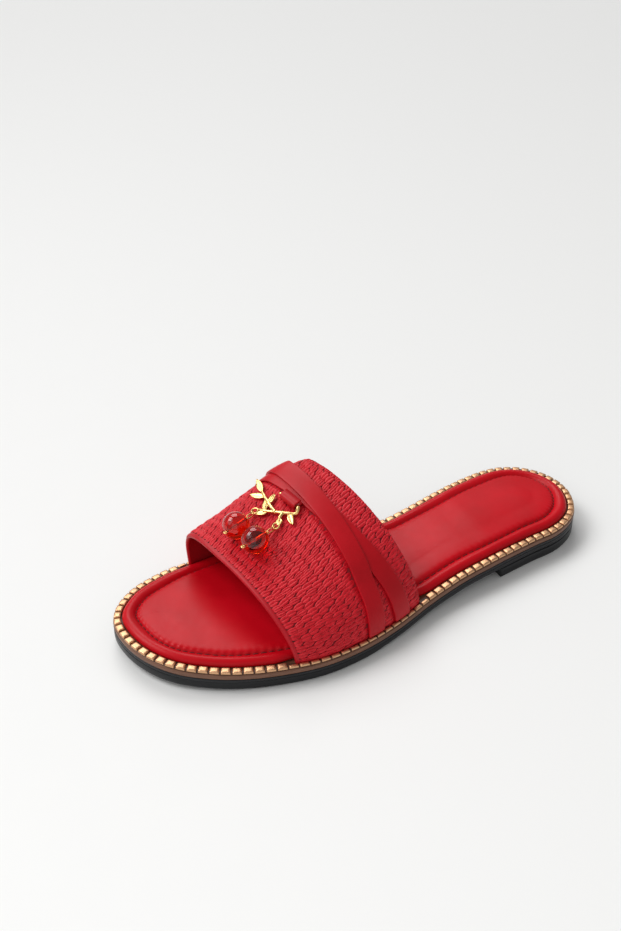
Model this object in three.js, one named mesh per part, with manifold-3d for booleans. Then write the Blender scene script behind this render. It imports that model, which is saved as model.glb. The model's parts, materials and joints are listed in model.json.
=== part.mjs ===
// Flat slide sandal for the left foot: a thin sole with a low heel, a gold block rand, a padded insole,
// one woven band over the foot with two crossed straps, and a leafy gold ornament with two bead drops.
// Millimetres, +Z up. The toe points to -Y, the heel to +Y, and the outer side of the foot is +X.
// Everything is worked out in the last's frame first: x = 0 and y = 0 at the toe tip, z = 0 on the ground.
// At the end the group moves so that its origin is under the middle of the whole sandal.
import * as THREE from "three";
import { mergeVertices } from "three/addons/utils/BufferGeometryUtils.js";
import Module from "manifold-3d";

const wasm = await Module();
wasm.setup();

// Sole
const soleLength = 253.2;
const ballWidth = 94.9;
const heelWidth = 64;
const toeSpring = 2.9;
const outsoleThickness = 5.9;
const outsoleRounding = 1.3;
const outsoleStepDown = 1.2; // height of the stepped-in strip under the outsole's top edge
const outsoleStepIn = 0.4;
const midsoleThickness = 2.5;
const midsoleChamfer = 0.6;
const heelHeight = 5.3;
const heelLength = 64.5;
const heelRounding = 0.8;
const gap = 0.3; // clearance between pieces that meet

// Gold rand
const randInset = 0.5;
const randWidth = 3.3;
const randHeight = 1.4;
const randBaseHeight = 0.8;
const randPitch = 5.1;
const randGap = 0.9; // the notch between two blocks, at the top
const randFootWidth = 1.7; // width left beside the band's feet
const randFootMargin = 1.5;

// Insole
const insoleThickness = 3.5;
const insoleSqueeze = 1.7; // how far the band pushes the insole's rim in, on the outer side
const squeezeRun = 12; // length over which the rim eases back out, in front of the band and behind it

// Woven band
const bandWall = 2;
const bandFrontHeight = 26.8; // crown above the foot of the band, at the front edge
const bandInstepHeight = 50; // the same at the rear edge
const bandBow = 2.3; // how far the front edge bows towards the toe
const bandBulge = 2.8; // how far the inner side stands out past its foot
const weaveRaise = 0.7;
const weaveStrips = 56;
const weaveRows = 12;
const bandBinding = 2.6; // plain folded edge, front and rear
const weaveFade = 4; // plain height above the feet

// Crossed straps and tab
const strapWidth = 9.4;
const strapThickness = 1.5;
const strapPress = 3.5; // how far in front of and behind the straps the weave lies flat
const strapOverlap = 0.4; // how deep the upper strap's underside sinks in the lower strap where they join
const tabWidth = 10.5;
const tabThickness = 1;
const tabReach = 4.6; // how far it stands out in front of the straps

// Ornament and drops
const stemRadius = 1;
const barRadius = 0.75;
const barPlay = 0.25;
const leafLength = 9;
const leafWidth = 3.4;
const leafThickness = 1.7;
const eyeletWire = 0.5;
const eyeletRadius = 1.6;
const linkWire = 0.35;
const linkPlay = 0.2;
const linkLength = 4.2; // between the wires that the link's two ends hold
const pinWire = 0.35;
const pinEyeRadius = 1;
const pinCurlRadius = 0.85;
const pinShow = 0.4; // bare wire between the pin's eye and the bead
const beadDiameter = 13.2;
const beadBorePlay = 0.15;

// The sole's outline, from the toe tip round the outer side, the heel's end and the inner side.
// along is a share of the sole's length; x is ball * ballWidth + heel * heelWidth.
const OUTLINE = [
  { along: 0, ball: 0, heel: 0 },
  { along: 0.0126, ball: 0.192, heel: 0 },
  { along: 0.0513, ball: 0.359, heel: 0 },
  { along: 0.1157, ball: 0.484, heel: 0 },
  { along: 0.1923, ball: 0.569, heel: 0 },
  { along: 0.3002, ball: 0.63, heel: 0 },
  { along: 0.3827, ball: 0.62, heel: 0 },
  { along: 0.4775, ball: 0.562, heel: 0 },
  { along: 0.56, ball: 0.24, heel: 0.371 },
  { along: 0.6374, ball: 0.12, heel: 0.472 },
  { along: 0.7393, ball: 0, heel: 0.588 },
  { along: 0.8333, ball: 0, heel: 0.531 },
  { along: 0.8867, ball: 0, heel: 0.506 },
  { along: 0.9265, ball: 0, heel: 0.452 },
  { along: 0.9629, ball: 0, heel: 0.353 },
  { along: 0.9901, ball: 0, heel: 0.184 },
  { along: 1, ball: 0, heel: -0.016 },
  { along: 0.9878, ball: 0, heel: -0.208 },
  { along: 0.9605, ball: 0, heel: -0.35 },
  { along: 0.9226, ball: 0, heel: -0.441 },
  { along: 0.8764, ball: 0, heel: -0.473 },
  { along: 0.8057, ball: 0, heel: -0.444 },
  { along: 0.7251, ball: 0, heel: -0.378 },
  { along: 0.6445, ball: 0, heel: -0.312 },
  { along: 0.5821, ball: 0, heel: -0.287 },
  { along: 0.5136, ball: -0.16, heel: -0.116 },
  { along: 0.4419, ball: -0.27, heel: -0.05 },
  { along: 0.3716, ball: -0.352, heel: 0 },
  { along: 0.2962, ball: -0.372, heel: 0 },
  { along: 0.1975, ball: -0.347, heel: 0 },
  { along: 0.128, ball: -0.314, heel: 0 },
  { along: 0.0577, ball: -0.231, heel: 0 },
  { along: 0.0122, ball: -0.105, heel: 0 },
];

// The sole from the side: shares of the toe spring, the heel's height and the outsole's thickness.
const PROFILE = [
  { along: 0, spring: 1, lift: 0, thick: 1.05 },
  { along: 0.05, spring: 0.69, lift: 0, thick: 1.03 },
  { along: 0.1, spring: 0.38, lift: 0, thick: 1 },
  { along: 0.16, spring: 0.12, lift: 0, thick: 1 },
  { along: 0.21, spring: 0, lift: 0, thick: 1 },
  { along: 0.3, spring: 0, lift: 0, thick: 0.98 },
  { along: 0.4, spring: 0, lift: 0, thick: 0.93 },
  { along: 0.48, spring: 0, lift: 0.22, thick: 0.78 },
  { along: 0.6, spring: 0, lift: 0.6, thick: 0.745 },
  { along: 0.7, spring: 0, lift: 0.93, thick: 0.745 },
  { along: 0.755, spring: 0, lift: 1, thick: 0.78 },
  { along: 1, spring: 0, lift: 1, thick: 0.78 },
];

// The insole's cross-section: distance in from its edge, and height as a share of its thickness.
const INSOLE_RINGS = [
  { inward: 0.4, height: 0, squeezed: 0 },
  { inward: 0, height: 0.25, squeezed: 0.3 },
  { inward: 0, height: 0.62, squeezed: 0.8 },
  { inward: 0.8, height: 0.9, squeezed: 1 },
  { inward: 3.2, height: 1.02, squeezed: 0.7 },
  { inward: 6.6, height: 0.92, squeezed: 0.3 },
  { inward: 8.8, height: 0.7, squeezed: 0 },
  { inward: 11, height: 0.93, squeezed: 0 },
  { inward: 15.5, height: 1.05, squeezed: 0 },
];

// Where the band's feet stand, as shares of the sole's length.
const BAND_FEET = { outerFront: 0.263, outerRear: 0.535, innerFront: 0.191, innerRear: 0.434 };

// The band's sections from its front edge (0) to its rear edge (1). rise goes from the front height to the
// instep height, crown is the share across where the section is highest, and the powers square its shoulders.
const BAND_SECTIONS = [
  { along: 0, rise: 0, crown: 0.6, outerPower: 2, innerPower: 4, bulge: 0.75 },
  { along: 0.3, rise: 0.24, crown: 0.66, outerPower: 1.92, innerPower: 4.6, bulge: 0.9 },
  { along: 0.55, rise: 0.53, crown: 0.73, outerPower: 1.84, innerPower: 5.4, bulge: 1.1 },
  { along: 0.8, rise: 0.84, crown: 0.82, outerPower: 1.75, innerPower: 6.2, bulge: 1.4 },
  { along: 1, rise: 1, crown: 0.885, outerPower: 1.68, innerPower: 7, bulge: 1.7 },
];

// Centre lines of the two straps on the band: round is the share from the outer to the inner foot, along
// the share from the front to the rear edge. The upper strap lies on the lower one where over is 1.
const UPPER_STRAP = [
  { round: 0.02, along: 0.59, over: 0 },
  { round: 0.1, along: 0.627, over: 0 },
  { round: 0.17, along: 0.645, over: 0 },
  { round: 0.25, along: 0.672, over: 1 },
  { round: 0.35, along: 0.707, over: 1 },
  { round: 0.5, along: 0.75, over: 1 },
  { round: 0.65, along: 0.79, over: 1 },
  { round: 0.84, along: 0.83, over: 1 },
  { round: 0.94, along: 0.85, over: 0 },
  { round: 0.98, along: 0.855, over: 0 },
];
const LOWER_STRAP = [
  { round: 0.02, along: 0.82, over: 0 },
  { round: 0.1, along: 0.815, over: 0 },
  { round: 0.2, along: 0.788, over: 0 },
  { round: 0.3, along: 0.757, over: 0 },
  { round: 0.4, along: 0.736, over: 0 },
  { round: 0.5, along: 0.728, over: 0 },
  { round: 0.68, along: 0.72, over: 0 },
  { round: 0.84, along: 0.69, over: 0 },
  { round: 0.98, along: 0.655, over: 0 },
];

// Where the tab, the ornament's stems and its eyelets lie on the band, as round and along shares.
const TAB = { round: 0.543, along: 0.625 };
// lean is how far the drop leans to the outer side.
const EYELETS = {
  a: { round: 0.619, along: 0.408, lean: 0.029 },
  b: { round: 0.507, along: 0.42, lean: 0.02 },
};
const STEMS = [
  [
    { round: 0.489, along: 0.628 },
    { round: 0.494, along: 0.58 },
    { round: 0.518, along: 0.535 },
    { round: 0.553, along: 0.493 },
    { round: 0.59, along: 0.452 },
    { round: 0.617, along: 0.435 },
  ],
  [
    { round: 0.53, along: 0.52 },
    { round: 0.524, along: 0.48 },
    { round: 0.51, along: 0.446 },
  ],
  [
    { round: 0.556, along: 0.49 },
    { round: 0.6, along: 0.513 },
    { round: 0.635, along: 0.535 },
    { round: 0.66, along: 0.555 },
  ],
];
// Leaves: where each starts, the way it points (0 is to the outer side, 90 to the heel), and its length as
// a share of leafLength.
const LEAVES = [
  { round: 0.658, along: 0.553, turn: 156, size: 1 },
  { round: 0.634, along: 0.535, turn: 205, size: 0.95 },
  { round: 0.602, along: 0.512, turn: 103, size: 0.65 },
  { round: 0.578, along: 0.467, turn: 232, size: 0.7 },
  { round: 0.592, along: 0.455, turn: 132, size: 0.85 },
  { round: 0.512, along: 0.543, turn: -25, size: 0.75 },
  { round: 0.523, along: 0.475, turn: -42, size: 0.65 },
];

// A smooth curve through the rows of a table that never swings past them (monotone cubic).
function follow(rows, key, x, column) {
  const last = rows.length - 1;
  if (x <= rows[0][key]) return rows[0][column];
  if (x >= rows[last][key]) return rows[last][column];
  const slope = (k) => (rows[k + 1][column] - rows[k][column]) / (rows[k + 1][key] - rows[k][key]);
  const tangent = (k) => {
    if (k === 0) return slope(0);
    if (k === last) return slope(last - 1);
    const [before, after] = [slope(k - 1), slope(k)];
    return before * after <= 0 ? 0 : (2 * before * after) / (before + after);
  };
  let k = 0;
  while (x > rows[k + 1][key]) k += 1;
  const width = rows[k + 1][key] - rows[k][key];
  const t = (x - rows[k][key]) / width;
  const t2 = t * t;
  const t3 = t2 * t;
  return (
    rows[k][column] * (2 * t3 - 3 * t2 + 1) +
    tangent(k) * width * (t3 - 2 * t2 + t) +
    rows[k + 1][column] * (3 * t2 - 2 * t3) +
    tangent(k + 1) * width * (t3 - t2)
  );
}

const lerp = THREE.MathUtils.lerp;
const smoothstep = THREE.MathUtils.smoothstep;

// Heights of the sole's layers at a place along the sole (y from the toe tip).
const underside = (y) =>
  toeSpring * follow(PROFILE, "along", y / soleLength, "spring") +
  heelHeight * follow(PROFILE, "along", y / soleLength, "lift");
const outsoleTop = (y) => underside(y) + outsoleThickness * follow(PROFILE, "along", y / soleLength, "thick");
const midsoleBottom = (y) => outsoleTop(y) + gap;
const midsoleTop = (y) => midsoleBottom(y) + midsoleThickness;
const topGap = (y) => midsoleTop(y) + gap;

// A mesh from corner positions and triangles, with its faces turned outwards.
function closedGeometry(corners, triangles) {
  const signed = triangles.reduce((sum, [a, b, c]) => {
    const cross = corners[b].clone().cross(corners[c]);
    return sum + corners[a].dot(cross);
  }, 0);
  const index = triangles.flatMap(([a, b, c]) => (signed < 0 ? [a, c, b] : [a, b, c]));
  const geometry = new THREE.BufferGeometry().setFromPoints(corners);
  geometry.setIndex(index);
  geometry.computeVertexNormals();
  return geometry;
}

function toSolid(geometry) {
  const bare = geometry.clone();
  bare.deleteAttribute("normal");
  bare.deleteAttribute("uv");
  const merged = mergeVertices(bare, 1e-4);
  const vertProperties = new Float32Array(merged.attributes.position.array);
  const triVerts = new Uint32Array(merged.index.array);
  return new wasm.Manifold(new wasm.Mesh({ numProp: 3, vertProperties, triVerts }));
}

function fromSolid(solid) {
  const mesh = solid.getMesh();
  const geometry = new THREE.BufferGeometry();
  geometry.setAttribute("position", new THREE.BufferAttribute(mesh.vertProperties, 3));
  geometry.setIndex(new THREE.BufferAttribute(mesh.triVerts, 1));
  geometry.computeVertexNormals();
  return geometry;
}

const joined = (geometries) => fromSolid(geometries.map(toSolid).reduce((all, next) => all.add(next)));

// Sole outline

const outlineCurve = new THREE.CatmullRomCurve3(
  OUTLINE.map(({ along, ball, heel }) => {
    const x = ball * ballWidth + heel * heelWidth;
    return new THREE.Vector3(x, along * soleLength, 0);
  }),
  true,
  "centripetal",
);
const heelRow = OUTLINE.findIndex((row) => row.along === 1);

// Points of a stretch of the outline at equal steps of length, each with its outward normal.
function stretch(from, to, count) {
  const fine = 1200;
  const lengths = [0];
  const at = (k) => outlineCurve.getPoint(lerp(from, to, k / fine));
  for (let k = 1; k <= fine; k += 1) lengths.push(lengths[k - 1] + at(k).distanceTo(at(k - 1)));
  const points = [];
  let k = 0;
  for (let n = 0; n < count; n += 1) {
    const target = (lengths[fine] * n) / count;
    while (lengths[k + 1] < target) k += 1;
    const share = (target - lengths[k]) / (lengths[k + 1] - lengths[k]);
    const t = lerp(from, to, (k + share) / fine);
    const tangent = outlineCurve.getTangent(t);
    const { x, y } = outlineCurve.getPoint(t);
    points.push({ x, y, nx: tangent.y, ny: -tangent.x });
  }
  return { points, length: lengths[fine] };
}

// The whole outline from the toe tip: half its points on the outer side, half on the inner side.
function outlinePoints(count) {
  const turn = heelRow / OUTLINE.length;
  return [...stretch(0, turn, count / 2).points, ...stretch(turn, 1, count / 2).points];
}

const soleSteps = 80;
const solePoints = outlinePoints(soleSteps);
const inset = (p, distance) => ({ x: p.x - p.nx * distance, y: p.y - p.ny * distance });

// The point at a distance in from the outline, at a place along one side of the sole.
const fineOutline = outlinePoints(720);
const heelTip = fineOutline[fineOutline.length / 2];
function edgeAt(outer, y, distance) {
  const half = fineOutline.length / 2;
  const side = outer ? fineOutline.slice(1, half) : fineOutline.slice(half + 1).reverse();
  const places = side.map((p) => inset(p, distance));
  let k = 1;
  while (k < places.length - 1 && places[k].y < y) k += 1;
  const [before, after] = [places[k - 1], places[k]];
  return lerp(before.x, after.x, (y - before.y) / (after.y - before.y));
}

// A ring round the sole at a distance in from the outline and a height that may follow the sole.
function ring(distance, height, points = solePoints) {
  return points.map((p, k) => {
    const at = inset(p, typeof distance === "function" ? distance(p, k) : distance);
    return new THREE.Vector3(at.x, at.y, height(at.y));
  });
}

// The side walls between rings stacked upwards.
function walls(levels, count) {
  const triangles = [];
  for (let level = 0; level + 1 < levels; level += 1) {
    for (let k = 0; k < count; k += 1) {
      const [a, b] = [level * count + k, level * count + ((k + 1) % count)];
      triangles.push([a, b, b + count], [a, b + count, a + count]);
    }
  }
  return triangles;
}

// A solid from rings stacked upwards, closed below and above by strips that run straight across.
function stack(rings) {
  const count = rings[0].length;
  const corners = rings.flat();
  const triangles = walls(rings.length, count);
  const cap = (base, up) => {
    for (let k = 0; k < count / 2; k += 1) {
      const [a, b] = [base + k, base + k + 1];
      const [c, d] = [base + count - k - 1, base + ((count - k) % count)];
      const strip = [];
      if (b !== c) strip.push([a, b, c]);
      if (d !== a) strip.push([a, c, d]);
      strip.forEach(([p, q, r]) => triangles.push(up ? [p, q, r] : [p, r, q]));
    }
  };
  cap(0, false);
  cap((rings.length - 1) * count, true);
  return closedGeometry(corners, triangles);
}

function makeOutsole() {
  const shoulder = (y) => outsoleTop(y) - outsoleStepDown;
  return stack([
    ring(outsoleRounding, underside),
    ring(0.3 * outsoleRounding, (y) => underside(y) + 0.35 * outsoleRounding),
    ring(0, (y) => underside(y) + outsoleRounding),
    ring(0, shoulder),
    ring(outsoleStepIn, (y) => shoulder(y) + outsoleStepIn / 2),
    ring(outsoleStepIn, outsoleTop),
  ]);
}

function makeMidsole() {
  return stack([
    ring(0.3 * midsoleChamfer, midsoleBottom),
    ring(0, (y) => midsoleTop(y) - midsoleChamfer),
    ring(midsoleChamfer, midsoleTop),
  ]);
}

// The heel follows the outline behind its straight breast, in matching places on both sides.
function makeHeel() {
  const steps = 12;
  const section = (distance, height) => {
    const breast = soleLength - heelLength + distance / 2;
    const places = Array.from({ length: steps }, (_, k) =>
      lerp(breast, soleLength - distance, Math.sin(((k / steps) * Math.PI) / 2)),
    );
    const outer = places.map((y) => ({ x: edgeAt(true, y, distance), y }));
    const inner = places.map((y) => ({ x: edgeAt(false, y, distance), y })).reverse();
    const tip = inset(heelTip, distance);
    return [...outer, tip, ...inner].map((p) => new THREE.Vector3(p.x, p.y, height(p.y)));
  };
  const levels = [
    section(heelRounding, () => 0),
    section(0.3 * heelRounding, () => 0.35 * heelRounding),
    section(0, () => heelRounding),
    section(0, (y) => underside(y) - gap),
  ];
  const count = 2 * steps + 1;
  const triangles = walls(levels.length, count);
  const cap = (base, up) => {
    for (let k = 0; k < steps; k += 1) {
      const [a, b, c, d] = [base + k, base + k + 1, base + count - k - 2, base + count - k - 1];
      const strip = b === c ? [[a, b, d]] : [[a, b, c], [a, c, d]];
      strip.forEach(([p, q, r]) => triangles.push(up ? [p, q, r] : [p, r, q]));
    }
  };
  cap(0, false);
  cap((levels.length - 1) * count, true);
  return closedGeometry(levels.flat(), triangles);
}

// Where the band's feet stand

const footInset = randInset + randFootWidth + 1.4 * gap; // the facets bow a little towards the rand
const feet = Object.fromEntries(Object.entries(BAND_FEET).map(([name, share]) => [name, share * soleLength]));
const underFoot = (p, margin) =>
  p.x > 0
    ? p.y > feet.outerFront - margin && p.y < feet.outerRear + margin
    : p.y > feet.innerFront - margin && p.y < feet.innerRear + margin;

// The gold rand: one strip all round, notched on every pitch so that it stands up in blocks.
function makeRand() {
  const turn = heelRow / OUTLINE.length;
  const [outerLength, innerLength] = [stretch(0, turn, 2).length, stretch(turn, 1, 2).length];
  const outerBlocks = Math.round(outerLength / randPitch);
  const innerBlocks = Math.round(innerLength / randPitch);
  const pitchOuter = outerLength / outerBlocks;
  const pitchInner = innerLength / innerBlocks;
  const corners = [];
  const side = (from, to, blocks, pitch) => {
    const per = 200;
    const fine = stretch(from, to, blocks * per).points;
    const place = (block, distance) => fine[block * per + Math.round((distance / pitch) * per)];
    for (let block = 0; block < blocks; block += 1) {
      const middle = place(block, pitch / 2);
      const narrow = underFoot(middle, randFootMargin + pitch / 2);
      const width = narrow ? randFootWidth : randWidth;
      const stations = [
        { at: 0, height: randBaseHeight },
        { at: randGap / 2, height: randHeight },
        { at: pitch - randGap / 2, height: randHeight },
      ];
      for (const { at, height } of stations) {
        const p = place(block, at);
        const [outer, inner] = [inset(p, randInset), inset(p, randInset + width)];
        const low = topGap(p.y);
        const top = low + height;
        corners.push(
          new THREE.Vector3(outer.x, outer.y, low),
          new THREE.Vector3(outer.x, outer.y, top),
          new THREE.Vector3(inner.x, inner.y, top),
          new THREE.Vector3(inner.x, inner.y, low),
        );
      }
    }
  };
  side(0, turn, outerBlocks, pitchOuter);
  side(turn, 1, innerBlocks, pitchInner);
  const stationCount = corners.length / 4;
  const triangles = [];
  for (let n = 0; n < stationCount; n += 1) {
    for (let k = 0; k < 4; k += 1) {
      const [a, b] = [n * 4 + k, n * 4 + ((k + 1) % 4)];
      const [c, d] = [((n + 1) % stationCount) * 4 + ((k + 1) % 4), ((n + 1) % stationCount) * 4 + k];
      triangles.push([a, d, c], [a, c, b]);
    }
  }
  return closedGeometry(corners, triangles);
}

// The padded insole, pushed in a little by the band on the outer side.
function makeInsole() {
  const edge = footInset + bandWall + gap;
  const squeeze = (p) =>
    p.x > 0
      ? insoleSqueeze *
        smoothstep(p.y, feet.outerFront - squeezeRun, feet.outerFront) *
        (1 - smoothstep(p.y, feet.outerRear, feet.outerRear + squeezeRun))
      : 0;
  return stack(
    INSOLE_RINGS.map((row) =>
      ring(
        (p) => edge + row.inward + row.squeezed * squeeze(p),
        (y) => topGap(y) + row.height * insoleThickness,
      ),
    ),
  );
}

// Woven band

// One section of the band as a fine line from the outer foot to the inner foot, with its running length.
const sectionCache = new Map();
function bandSection(along) {
  const key = along.toFixed(6);
  if (sectionCache.has(key)) return sectionCache.get(key);
  const value = (column) => follow(BAND_SECTIONS, "along", along, column);
  const outerY = lerp(feet.outerFront, feet.outerRear, along);
  const innerY = lerp(feet.innerFront, feet.innerRear, along);
  const outerFoot = new THREE.Vector3(edgeAt(true, outerY, footInset), outerY, topGap(outerY));
  const innerFoot = new THREE.Vector3(edgeAt(false, innerY, footInset), innerY, topGap(innerY));
  const across = outerFoot.distanceTo(innerFoot);
  const height = lerp(bandFrontHeight, bandInstepHeight, value("rise"));
  const crown = value("crown");
  const half = 60;
  const points = [];
  for (let k = 0; k <= 2 * half; k += 1) {
    const outer = k <= half;
    const angle = ((outer ? k : 2 * half - k) / half) * (Math.PI / 2);
    const power = 2 / value(outer ? "outerPower" : "innerPower");
    const level = Math.sin(angle) ** power;
    const reach = Math.cos(angle) ** power;
    const bulge = outer ? 0 : (bandBulge * value("bulge") * Math.sin(Math.PI * level ** 1.5)) / across;
    const share = outer ? crown * (1 - reach) : crown + (1 - crown) * reach + bulge;
    const inside = THREE.MathUtils.clamp(share, 0, 1);
    const bow = bandBow * (1 - along) * Math.sqrt(4 * inside * (1 - inside));
    const point = outerFoot.clone().lerp(innerFoot, share);
    points.push(point.add(new THREE.Vector3(0, -bow, level * height)));
  }
  const lengths = [0];
  for (let k = 1; k < points.length; k += 1) {
    lengths.push(lengths[k - 1] + points[k].distanceTo(points[k - 1]));
  }
  const section = { points, lengths, length: lengths[lengths.length - 1] };
  sectionCache.set(key, section);
  return section;
}

// A point of the band's outer face: round is the share of the section's length from the outer foot.
function bandPoint(round, along) {
  const { points, lengths, length } = bandSection(THREE.MathUtils.clamp(along, 0, 1));
  const target = THREE.MathUtils.clamp(round, 0, 1) * length;
  let k = 1;
  while (k < lengths.length - 1 && lengths[k] < target) k += 1;
  const share = (target - lengths[k - 1]) / (lengths[k] - lengths[k - 1]);
  return points[k - 1].clone().lerp(points[k], share);
}

// The band's outer face at a place, with its directions: round to the inner side, along to the heel, and out.
function bandFrame(round, along) {
  const step = 0.012;
  const [r0, r1] = [Math.max(round - step, 0), Math.min(round + step, 1)];
  const [a0, a1] = [Math.max(along - step, 0), Math.min(along + step, 1)];
  const roundway = bandPoint(r1, along).sub(bandPoint(r0, along));
  const alongway = bandPoint(round, a1).sub(bandPoint(round, a0));
  const roundLength = roundway.length() / (r1 - r0);
  const alongLength = alongway.length() / (a1 - a0);
  const out = alongway.clone().cross(roundway).normalize();
  roundway.normalize();
  alongway.normalize();
  return { point: bandPoint(round, along), roundway, alongway, out, roundLength, alongLength };
}

function onBand(round, along, height) {
  const { point, out } = bandFrame(round, along);
  return point.addScaledVector(out, height);
}

// Triangles between two rows of corners with different counts, in step with their shares.
function stitch(outerRow, innerRow, flip) {
  const triangles = [];
  let [a, b] = [0, 0];
  while (a < outerRow.length - 1 || b < innerRow.length - 1) {
    const nextOuter = a < outerRow.length - 1 ? outerRow[a + 1].share : Infinity;
    const nextInner = b < innerRow.length - 1 ? innerRow[b + 1].share : Infinity;
    if (nextOuter <= nextInner) {
      triangles.push([outerRow[a].corner, outerRow[a + 1].corner, innerRow[b].corner]);
      a += 1;
    } else {
      triangles.push([outerRow[a].corner, innerRow[b + 1].corner, innerRow[b].corner]);
      b += 1;
    }
  }
  return flip ? triangles.map(([p, q, r]) => [p, r, q]) : triangles;
}

// The band is one wall. Its outer face carries the raised weave between plain edges.
function makeBand() {
  const length = bandPoint(0.5, 0).distanceTo(bandPoint(0.5, 1));
  const edge = bandBinding / length;
  const rows = [0, edge];
  for (let k = 1; k < weaveRows; k += 1) rows.push(lerp(edge, 1 - edge, k / weaveRows));
  rows.push(1 - edge, 1);
  const rounds = Array.from({ length: weaveStrips + 1 }, (_, k) => k / weaveStrips);
  const innerRows = Array.from({ length: 6 }, (_, k) => k / 5);
  const innerRounds = Array.from({ length: 25 }, (_, k) => k / 24);
  const corners = [];
  const grid = (rs, as, height) =>
    rs.map((round, i) =>
      as.map((along, j) => {
        corners.push(onBand(round, along, height(round, along, i, j)));
        return corners.length - 1;
      }),
    );
  const raise = (round, along, i, j) => {
    if (j < 2 || j > rows.length - 3 || (i + j) % 2) return 0;
    const span = bandSection(along).length;
    const flat = (strapWidth / 2 + strapPress) / length;
    const pressed = [UPPER_STRAP, LOWER_STRAP].some(
      (strap) => Math.abs(follow(strap, "round", round, "along") - along) < flat,
    );
    return pressed ? 0 : weaveRaise * smoothstep(Math.min(round, 1 - round) * span, weaveFade / 2, weaveFade);
  };
  const outer = grid(rounds, rows, raise);
  const inner = grid(innerRounds, innerRows, () => -bandWall);
  const triangles = [];
  for (let i = 0; i + 1 < rounds.length; i += 1) {
    for (let j = 0; j + 1 < rows.length; j += 1) {
      const [a, b, c, d] = [outer[i][j], outer[i][j + 1], outer[i + 1][j + 1], outer[i + 1][j]];
      if ((i + j) % 2) triangles.push([a, b, c], [a, c, d]);
      else triangles.push([a, b, d], [b, c, d]);
    }
  }
  for (let i = 0; i + 1 < innerRounds.length; i += 1) {
    for (let j = 0; j + 1 < innerRows.length; j += 1) {
      const [a, b, c, d] = [inner[i][j], inner[i][j + 1], inner[i + 1][j + 1], inner[i + 1][j]];
      triangles.push([a, c, b], [a, d, c]);
    }
  }
  const along = (table, j, shares) => table.map((column, i) => ({ corner: column.at(j), share: shares[i] }));
  const down = (column, shares) => column.map((corner, j) => ({ corner, share: shares[j] }));
  triangles.push(
    ...stitch(along(outer, 0, rounds), along(inner, 0, innerRounds), false),
    ...stitch(along(outer, -1, rounds), along(inner, -1, innerRounds), true),
    ...stitch(down(outer[0], rows), down(inner[0], innerRows), true),
    ...stitch(down(outer.at(-1), rows), down(inner.at(-1), innerRows), false),
  );
  return closedGeometry(corners, triangles);
}

// Crossed straps

const strapBase = 2 * gap; // straight facets dip a little where the band turns sharply
const weaveTop = weaveRaise + gap;

// A flat strap that hugs the band along a centre line given by a table.
function strapGeometry(rows) {
  const steps = 36;
  const columns = [-0.5, 0, 0.5];
  const corners = [];
  const place = (t) => {
    const round = lerp(rows[0].round, rows.at(-1).round, t);
    const [along, over] = ["along", "over"].map((column) => follow(rows, "round", round, column));
    return { round, along, over };
  };
  for (let k = 0; k <= steps; k += 1) {
    const t = k / steps;
    const here = place(t);
    const frame = bandFrame(here.round, here.along);
    const [before, after] = [place(Math.max(t - 0.01, 0)), place(Math.min(t + 0.01, 1))];
    const tangent = onBand(after.round, after.along, 0).sub(onBand(before.round, before.along, 0));
    const sideways = tangent.cross(frame.out).normalize();
    const end = smoothstep(Math.min(t, 1 - t), 0, 0.06);
    const row = columns.map((share) => {
      const shift = share * strapWidth;
      const round = here.round + (end * shift * sideways.dot(frame.roundway)) / frame.roundLength;
      return { round, along: here.along + (shift * sideways.dot(frame.alongway)) / frame.alongLength };
    });
    const low = strapBase + here.over * (strapThickness - strapOverlap);
    row.forEach((p) => corners.push(onBand(p.round, p.along, low)));
    row.reverse().forEach((p) => corners.push(onBand(p.round, p.along, low + strapThickness)));
  }
  const around = columns.length * 2;
  const triangles = [];
  for (let k = 0; k < steps; k += 1) {
    for (let n = 0; n < around; n += 1) {
      const [a, b] = [k * around + n, k * around + ((n + 1) % around)];
      triangles.push([a, b, b + around], [a, b + around, a + around]);
    }
  }
  const cap = (base, flip) => {
    for (const [a, b, c, d] of [[0, 1, 4, 5], [1, 2, 3, 4]]) {
      for (const [p, q] of [[b, c], [c, d]]) {
        triangles.push(flip ? [base + a, base + q, base + p] : [base + a, base + p, base + q]);
      }
    }
  };
  cap(0, true);
  cap(steps * around, false);
  return closedGeometry(corners, triangles);
}

const makeStraps = () => joined([strapGeometry(UPPER_STRAP), strapGeometry(LOWER_STRAP)]);

// Tab

const tubeSection = (radius, sides) => {
  const corner = (angle) => new THREE.Vector2(radius * Math.cos(angle), radius * Math.sin(angle));
  return new THREE.Shape(Array.from({ length: sides }, (_, k) => corner((2 * Math.PI * k) / sides)));
};

function tube(points, radius, sides, steps) {
  const extrudePath = new THREE.CatmullRomCurve3(points, false, "centripetal");
  return new THREE.ExtrudeGeometry(tubeSection(radius, sides), { extrudePath, steps, curveSegments: 1 });
}

// A matrix that lays a piece on the band: its x to the outer side, y to the heel and z out.
function layOnBand(round, along, height) {
  const frame = bandFrame(round, along);
  const outward = frame.roundway.clone().negate();
  const heelward = frame.out.clone().cross(outward);
  const origin = frame.point.clone().addScaledVector(frame.out, height);
  return new THREE.Matrix4().makeBasis(outward, heelward, frame.out).setPosition(origin);
}

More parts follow.
